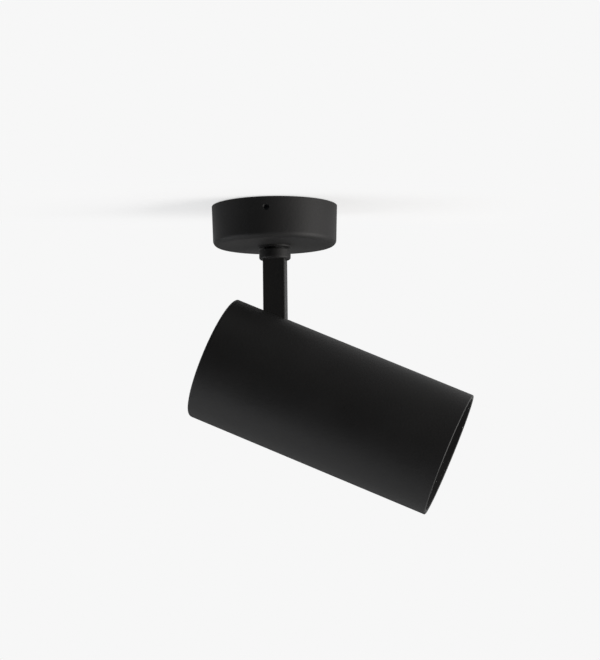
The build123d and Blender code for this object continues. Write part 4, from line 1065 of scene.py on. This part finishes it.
# --- Sub-assemblies -------------------------------------------------
@dataclass
class SubAssembly:
    """Nodes of one body that belong together, and the finish of each."""

    coats: ClassVar[dict[str, Finish]] = {}
    body: Body = Body.BASE

    def build(self) -> None:
        """Makes the sub-assembly's own meshes. Most have only the carried-over nodes."""

    def dress(self) -> None:
        """Gives every node of the sub-assembly its finish."""
        for name, finish in self.coats.items():
            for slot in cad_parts[name].material_slots:
                slot.material = finish.material()
            LOG.info("%s, %s: %s", self.body.value, name, finish.name)


@dataclass
class CeilingBase(SubAssembly):
    """What stays fixed to the ceiling: plate, canopy, terminals and the swivel's bush."""

    coats: ClassVar[dict[str, Finish]] = {
        "mounting_plate": Finishes.ZINC_LINES,
        "cable_grommet": Finishes.GROMMET,
        "canopy": Finishes.CANOPY_COAT,
        "canopy_grub_screws": Finishes.BLACK_SCREW,
        "terminal_block": Finishes.BLOCK,
        "terminal_tubes": Finishes.BRASS,
        "terminal_screws": Finishes.ZINC,
        "block_screw": Finishes.ZINC,
        "earth_tag": Finishes.TINNED,
        "earth_screw": Finishes.ZINC,
        "supply_lead": Finishes.CORES,
        "swivel_bush": Finishes.BUSH_WITH_GAP_SHADE,
        "stop_pin": Finishes.ZINC,
    }


@dataclass
class SwivelArm(SubAssembly):
    """What turns about the vertical: stem, collar, arm and the tilt axle."""

    coats: ClassVar[dict[str, Finish]] = {
        "swivel_stem": Finishes.STEM_THREAD,
        "friction_washer": Finishes.FRICTION,
        "stop_washer": Finishes.ZINC,
        "disc_spring": Finishes.SPRING,
        "swivel_nuts": Finishes.ZINC,
        "swivel_collar": Finishes.ARM_COAT,
        "arm": Finishes.ARM_COAT,
        "pivot_tube": Finishes.AXLE_THREAD,
        "pivot_friction_washers": Finishes.FRICTION,
        "pivot_washers": Finishes.ZINC,
        "pivot_springs": Finishes.SPRING,
        "pivot_nuts": Finishes.ZINC,
        "arm_lead": Finishes.SHEATH,
    }
    body: Body = Body.ARM


@dataclass
class LampHead(SubAssembly):
    """What tilts: the tube, its cap, the yoke, the heat sink and the driver."""

    coats: ClassVar[dict[str, Finish]] = {
        "head_tube": Finishes.HEAD_COAT,
        "tube_screws": Finishes.BLACK_SCREW,
        "rear_cap": Finishes.ARM_COAT,
        "rear_cap_screws": Finishes.BLACK_SCREW,
        "spacer_posts": Finishes.ZINC,
        "yoke": Finishes.ZINC_LINES,
        "yoke_screws": Finishes.ZINC,
        "heat_sink": Finishes.ALUMINIUM,
        "driver_tray": Finishes.ZINC_LINES,
        "tray_screws": Finishes.ZINC,
        "driver": Finishes.DRIVER,
        "driver_screws": Finishes.ZINC,
        "head_lead": Finishes.SHEATH,
        "led_leads": Finishes.LED_WIRE,
    }
    body: Body = Body.HEAD


@dataclass
class Optics(SubAssembly):
    """The light source and what stands in front of it."""

    coats: ClassVar[dict[str, Finish]] = {
        "led_board": Finishes.BOARD,
        "led_emitter": Finishes.PHOSPHOR,
        "led_holder": Finishes.HOLDER,
        "holder_screws": Finishes.ZINC,
        "reflector": Finishes.REFLECTOR,
        "glass_gasket": Finishes.GASKET,
        "front_glass": Finishes.GLASS,
        "baffle_ring": Finishes.BAFFLE_COAT,
    }
    body: Body = Body.HEAD
    reflector: FacetedReflector = field(default_factory=FacetedReflector)
    dam: SiliconeDam = field(default_factory=SiliconeDam)

    def build(self) -> None:
        """Makes the faceted reflector and the bead round the phosphor."""
        bright = self.reflector.build(self.body, "reflector_aluminium", Finishes.REFLECTOR)
        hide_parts("reflector")
        self.dam.build(self.body, "gasket_silicone", Finishes.DAM)


# --- Studio ---------------------------------------------------------
WARM: Triple = (1.0, 0.97, 0.95)
COOL: Triple = (0.96, 0.97, 1.0)


@dataclass
class Softbox:
    """A flat lamp that faces the spotlight."""

    name: str
    place: Triple
    width: float
    height: float
    power: float
    colour: Triple = (1.0, 1.0, 1.0)
    target: Triple = (0.03, 0.0, -0.1)

    def build(self) -> None:
        """Makes the lamp."""
        data = bpy.data.lights.new(self.name, "AREA")
        data.shape = "RECTANGLE"
        data.size, data.size_y = self.width, self.height
        data.energy = self.power
        data.color = self.colour
        lamp = bpy.data.objects.new(self.name, data)
        lamp.location = self.place
        aim = Vector(self.target) - Vector(self.place)
        lamp.rotation_euler = aim.to_track_quat("-Z", "Y").to_euler()
        lamp.visible_camera = False
        bpy.context.collection.objects.link(lamp)


@dataclass
class Camera:
    """The photograph's viewpoint: below the ceiling, a little to the right, looking up."""

    distance: float = 1.2763
    azimuth: float = math.radians(7.468)
    elevation: float = math.radians(-9.697)
    yaw: float = math.radians(0.698)
    pitch: float = math.radians(6.152)
    roll: float = math.radians(-0.684)
    focal_pixels: float = 2004.9
    image_height: float = 660.0
    sensor: float = 36.0
    clip: Span = (0.05, 60.0)

    def build(self) -> None:
        """Makes the camera and gives it to the scene."""
        data = bpy.data.cameras.new("photo_camera")
        data.sensor_width = self.sensor
        data.lens = self.focal_pixels * self.sensor / self.image_height
        data.clip_start, data.clip_end = self.clip
        camera = bpy.data.objects.new("photo_camera", data)
        level = self.distance * math.cos(self.elevation)
        spot = Vector((0.0, -level, self.distance * math.sin(self.elevation)))
        sight = Vector(
            (
                math.sin(self.yaw) * math.cos(self.pitch),
                math.cos(self.yaw) * math.cos(self.pitch),
                math.sin(self.pitch),
            )
        )
        right = Vector((math.cos(self.yaw), -math.sin(self.yaw), 0.0))
        over = right.cross(sight)
        turned = right * math.cos(self.roll) + over * math.sin(self.roll)
        upright = over * math.cos(self.roll) - right * math.sin(self.roll)
        pose = Matrix((turned, upright, -sight)).transposed().to_4x4()
        pose.translation = spot
        camera.matrix_world = Matrix.Rotation(self.azimuth, 4, "Z") @ pose
        bpy.context.collection.objects.link(camera)
        bpy.context.scene.camera = camera


@dataclass
class Studio:
    """Ceiling, floor, lamps and world.

    A glow is how brightly paper lights the spotlight, in front of it and behind it.
    """

    half_width: float = 4.0
    back: float = 4.0
    front: float = -0.75
    ceiling: float = 0.3 * MM
    floor: float = -1.8
    paper: float = 0.93
    ceiling_glow: Span = (0.13, 0.89)
    floor_glow: Span = (0.6, 0.57)
    glow_back: Span = (-0.2, 0.4)
    shadow_share: float = 0.37
    lit_level: float = 0.84
    shadow_across: Span = (0.2, 0.07)
    shadow_back: Span = (0.08, 0.015)
    shadow_turn: float = math.radians(15.0)
    world_back: Span = (-0.35, 0.45)
    world_height: Span = (-0.12, 0.0)
    lamps: tuple[Softbox, ...] = (
        Softbox("high_right_softbox", (1.25, -0.2, -0.17), 0.9, 0.28, 7.2, WARM),
        Softbox("right_softbox", (1.2, -0.35, -0.5), 0.7, 0.4, 12.1, WARM),
        Softbox("low_right_softbox", (1.25, -0.1, -0.9), 0.6, 0.4, 5.0, WARM),
        Softbox("left_softbox", (-1.25, -0.1, -0.7), 0.6, 0.4, 4.2, COOL),
        Softbox("low_left_softbox", (-0.9, -0.3, -1.0), 0.8, 0.5, 3.1, COOL),
        Softbox("floor_softbox", (0.03, 0.388, -1.549), 3.0, 0.35, 1.5),
    )

    @staticmethod
    def sees_paper(graph: Graph, backdrop: Value) -> Value:
        """Which rays see the background as plain as it is in the picture.

        Args:
            graph: The graph of the paper or the world.
            backdrop: 1 where the background lies behind the spotlight, and 0 elsewhere.

        Returns:
            1 for rays from the camera and through glass, and for reflections of the backdrop.
        """
        path = graph.node("ShaderNodeLightPath").outputs
        camera, glass, gloss = (
            Value(graph, path[kind])
            for kind in ("Is Camera Ray", "Is Transmission Ray", "Is Glossy Ray")
        )
        return camera.larger(glass).larger(gloss * backdrop)

    def paper_material(self, name: str, glow: Span, mirrored: float) -> bpy.types.Material:
        """Pale paper that the camera sees as plain, with the spotlight's faint shadow on it.

        Args:
            name: The material's name.
            glow: How brightly the paper lights the spotlight, in front and behind.
            mirrored: 1 if reflections show the paper behind as it is in the picture, or 0.

        Returns:
            The material, which is clear from behind.
        """
        made = bpy.data.materials.new(name)
        made.use_nodes = True
        graph = Graph(made.node_tree)
        across, back, _ = graph.local(Matrix.Rotation(-self.shadow_turn, 3, "Z"))
        near = abs(across).step(*self.shadow_across) * abs(back).step(*self.shadow_back)
        share = near * self.shadow_share
        level = (self.paper - share * self.lit_level) / (1.0 - share)
        plain = graph.node("ShaderNodeEmission", None, {"Color": level, "Strength": 1.0})
        shaded = graph.node("ShaderNodeBsdfDiffuse", None, {"Color": grey(self.paper)})
        seen = graph.mix_shaders(share, plain, shaded)
        behind = graph.along(XYZ[1], (0, 0, 0)).step(*self.glow_back)
        lit = graph.blend(behind, *map(grey, glow))
        bounce = graph.node("ShaderNodeEmission", None, {"Color": lit, "Strength": 1.0})
        front = graph.mix_shaders(self.sees_paper(graph, behind * mirrored), bounce, seen)
        clear = graph.node("ShaderNodeBsdfTransparent")
        backfacing = Value(graph, graph.node("ShaderNodeNewGeometry").outputs["Backfacing"])
        whole = graph.mix_shaders(backfacing, front, clear)
        graph.node("ShaderNodeOutputMaterial", None, {"Surface": whole.outputs[0]})
        return made

    def sheet(self, name: str, corners: Sequence[Triple], material: bpy.types.Material) -> None:
        """Makes one flat sheet of the studio.

        Args:
            name: The sheet's name.
            corners: Four corners, counter-clockwise seen from its pale side.
            material: Its material.
        """
        mesh = bpy.data.meshes.new(name)
        mesh.from_pydata(list(corners), [], [tuple(range(len(corners)))])
        mesh.materials.append(material)
        made = bpy.data.objects.new(name, mesh)
        bpy.context.collection.objects.link(made)

    def build(self) -> None:
        """Makes the studio."""
        wide, near, far = self.half_width, self.front, self.back
        ceiling = self.paper_material("ceiling_paper", self.ceiling_glow, 1.0)
        ground = self.paper_material("floor_paper", self.floor_glow, 0.0)
        rim = [(-wide, near), (wide, near), (wide, far), (-wide, far)]
        self.sheet("ceiling", [(x, y, self.ceiling) for x, y in reversed(rim)], ceiling)
        self.sheet("floor", [(x, y, self.floor) for x, y in rim], ground)
        for lamp in self.lamps:
            lamp.build()
        self.world()

    def world(self) -> None:
        """Makes the world: plain paper to the camera, and dark where it would light the spotlight.

        Reflections show plain paper where it lies behind the spotlight, near the ceiling.
        """
        world = bpy.data.worlds.new("studio_world")
        bpy.context.scene.world = world
        world.use_nodes = True
        graph = Graph(world.node_tree, "Generated")
        _, back, height = graph.local(XYZ)
        backdrop = back.step(*self.world_back) * height.step(*self.world_height)
        dark, seen = (
            graph.node("ShaderNodeBackground", None, {"Color": grey(level), "Strength": 1.0})
            for level in (0.0, self.paper)
        )
        whole = graph.mix_shaders(self.sees_paper(graph, backdrop), dark, seen)
        graph.node("ShaderNodeOutputWorld", None, {"Surface": whole.outputs[0]})


def main() -> None:
    """Builds and dresses the light, then its studio and camera."""
    logging.basicConfig(level=logging.INFO, format="%(name)s: %(message)s")
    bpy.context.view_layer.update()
    bpy.context.scene.view_settings.view_transform = "Standard"
    for part in (CeilingBase(), SwivelArm(), LampHead(), Optics()):
        part.build()
        part.dress()
    Studio().build()
    Camera().build()


if __name__ == "__main__":
    main()
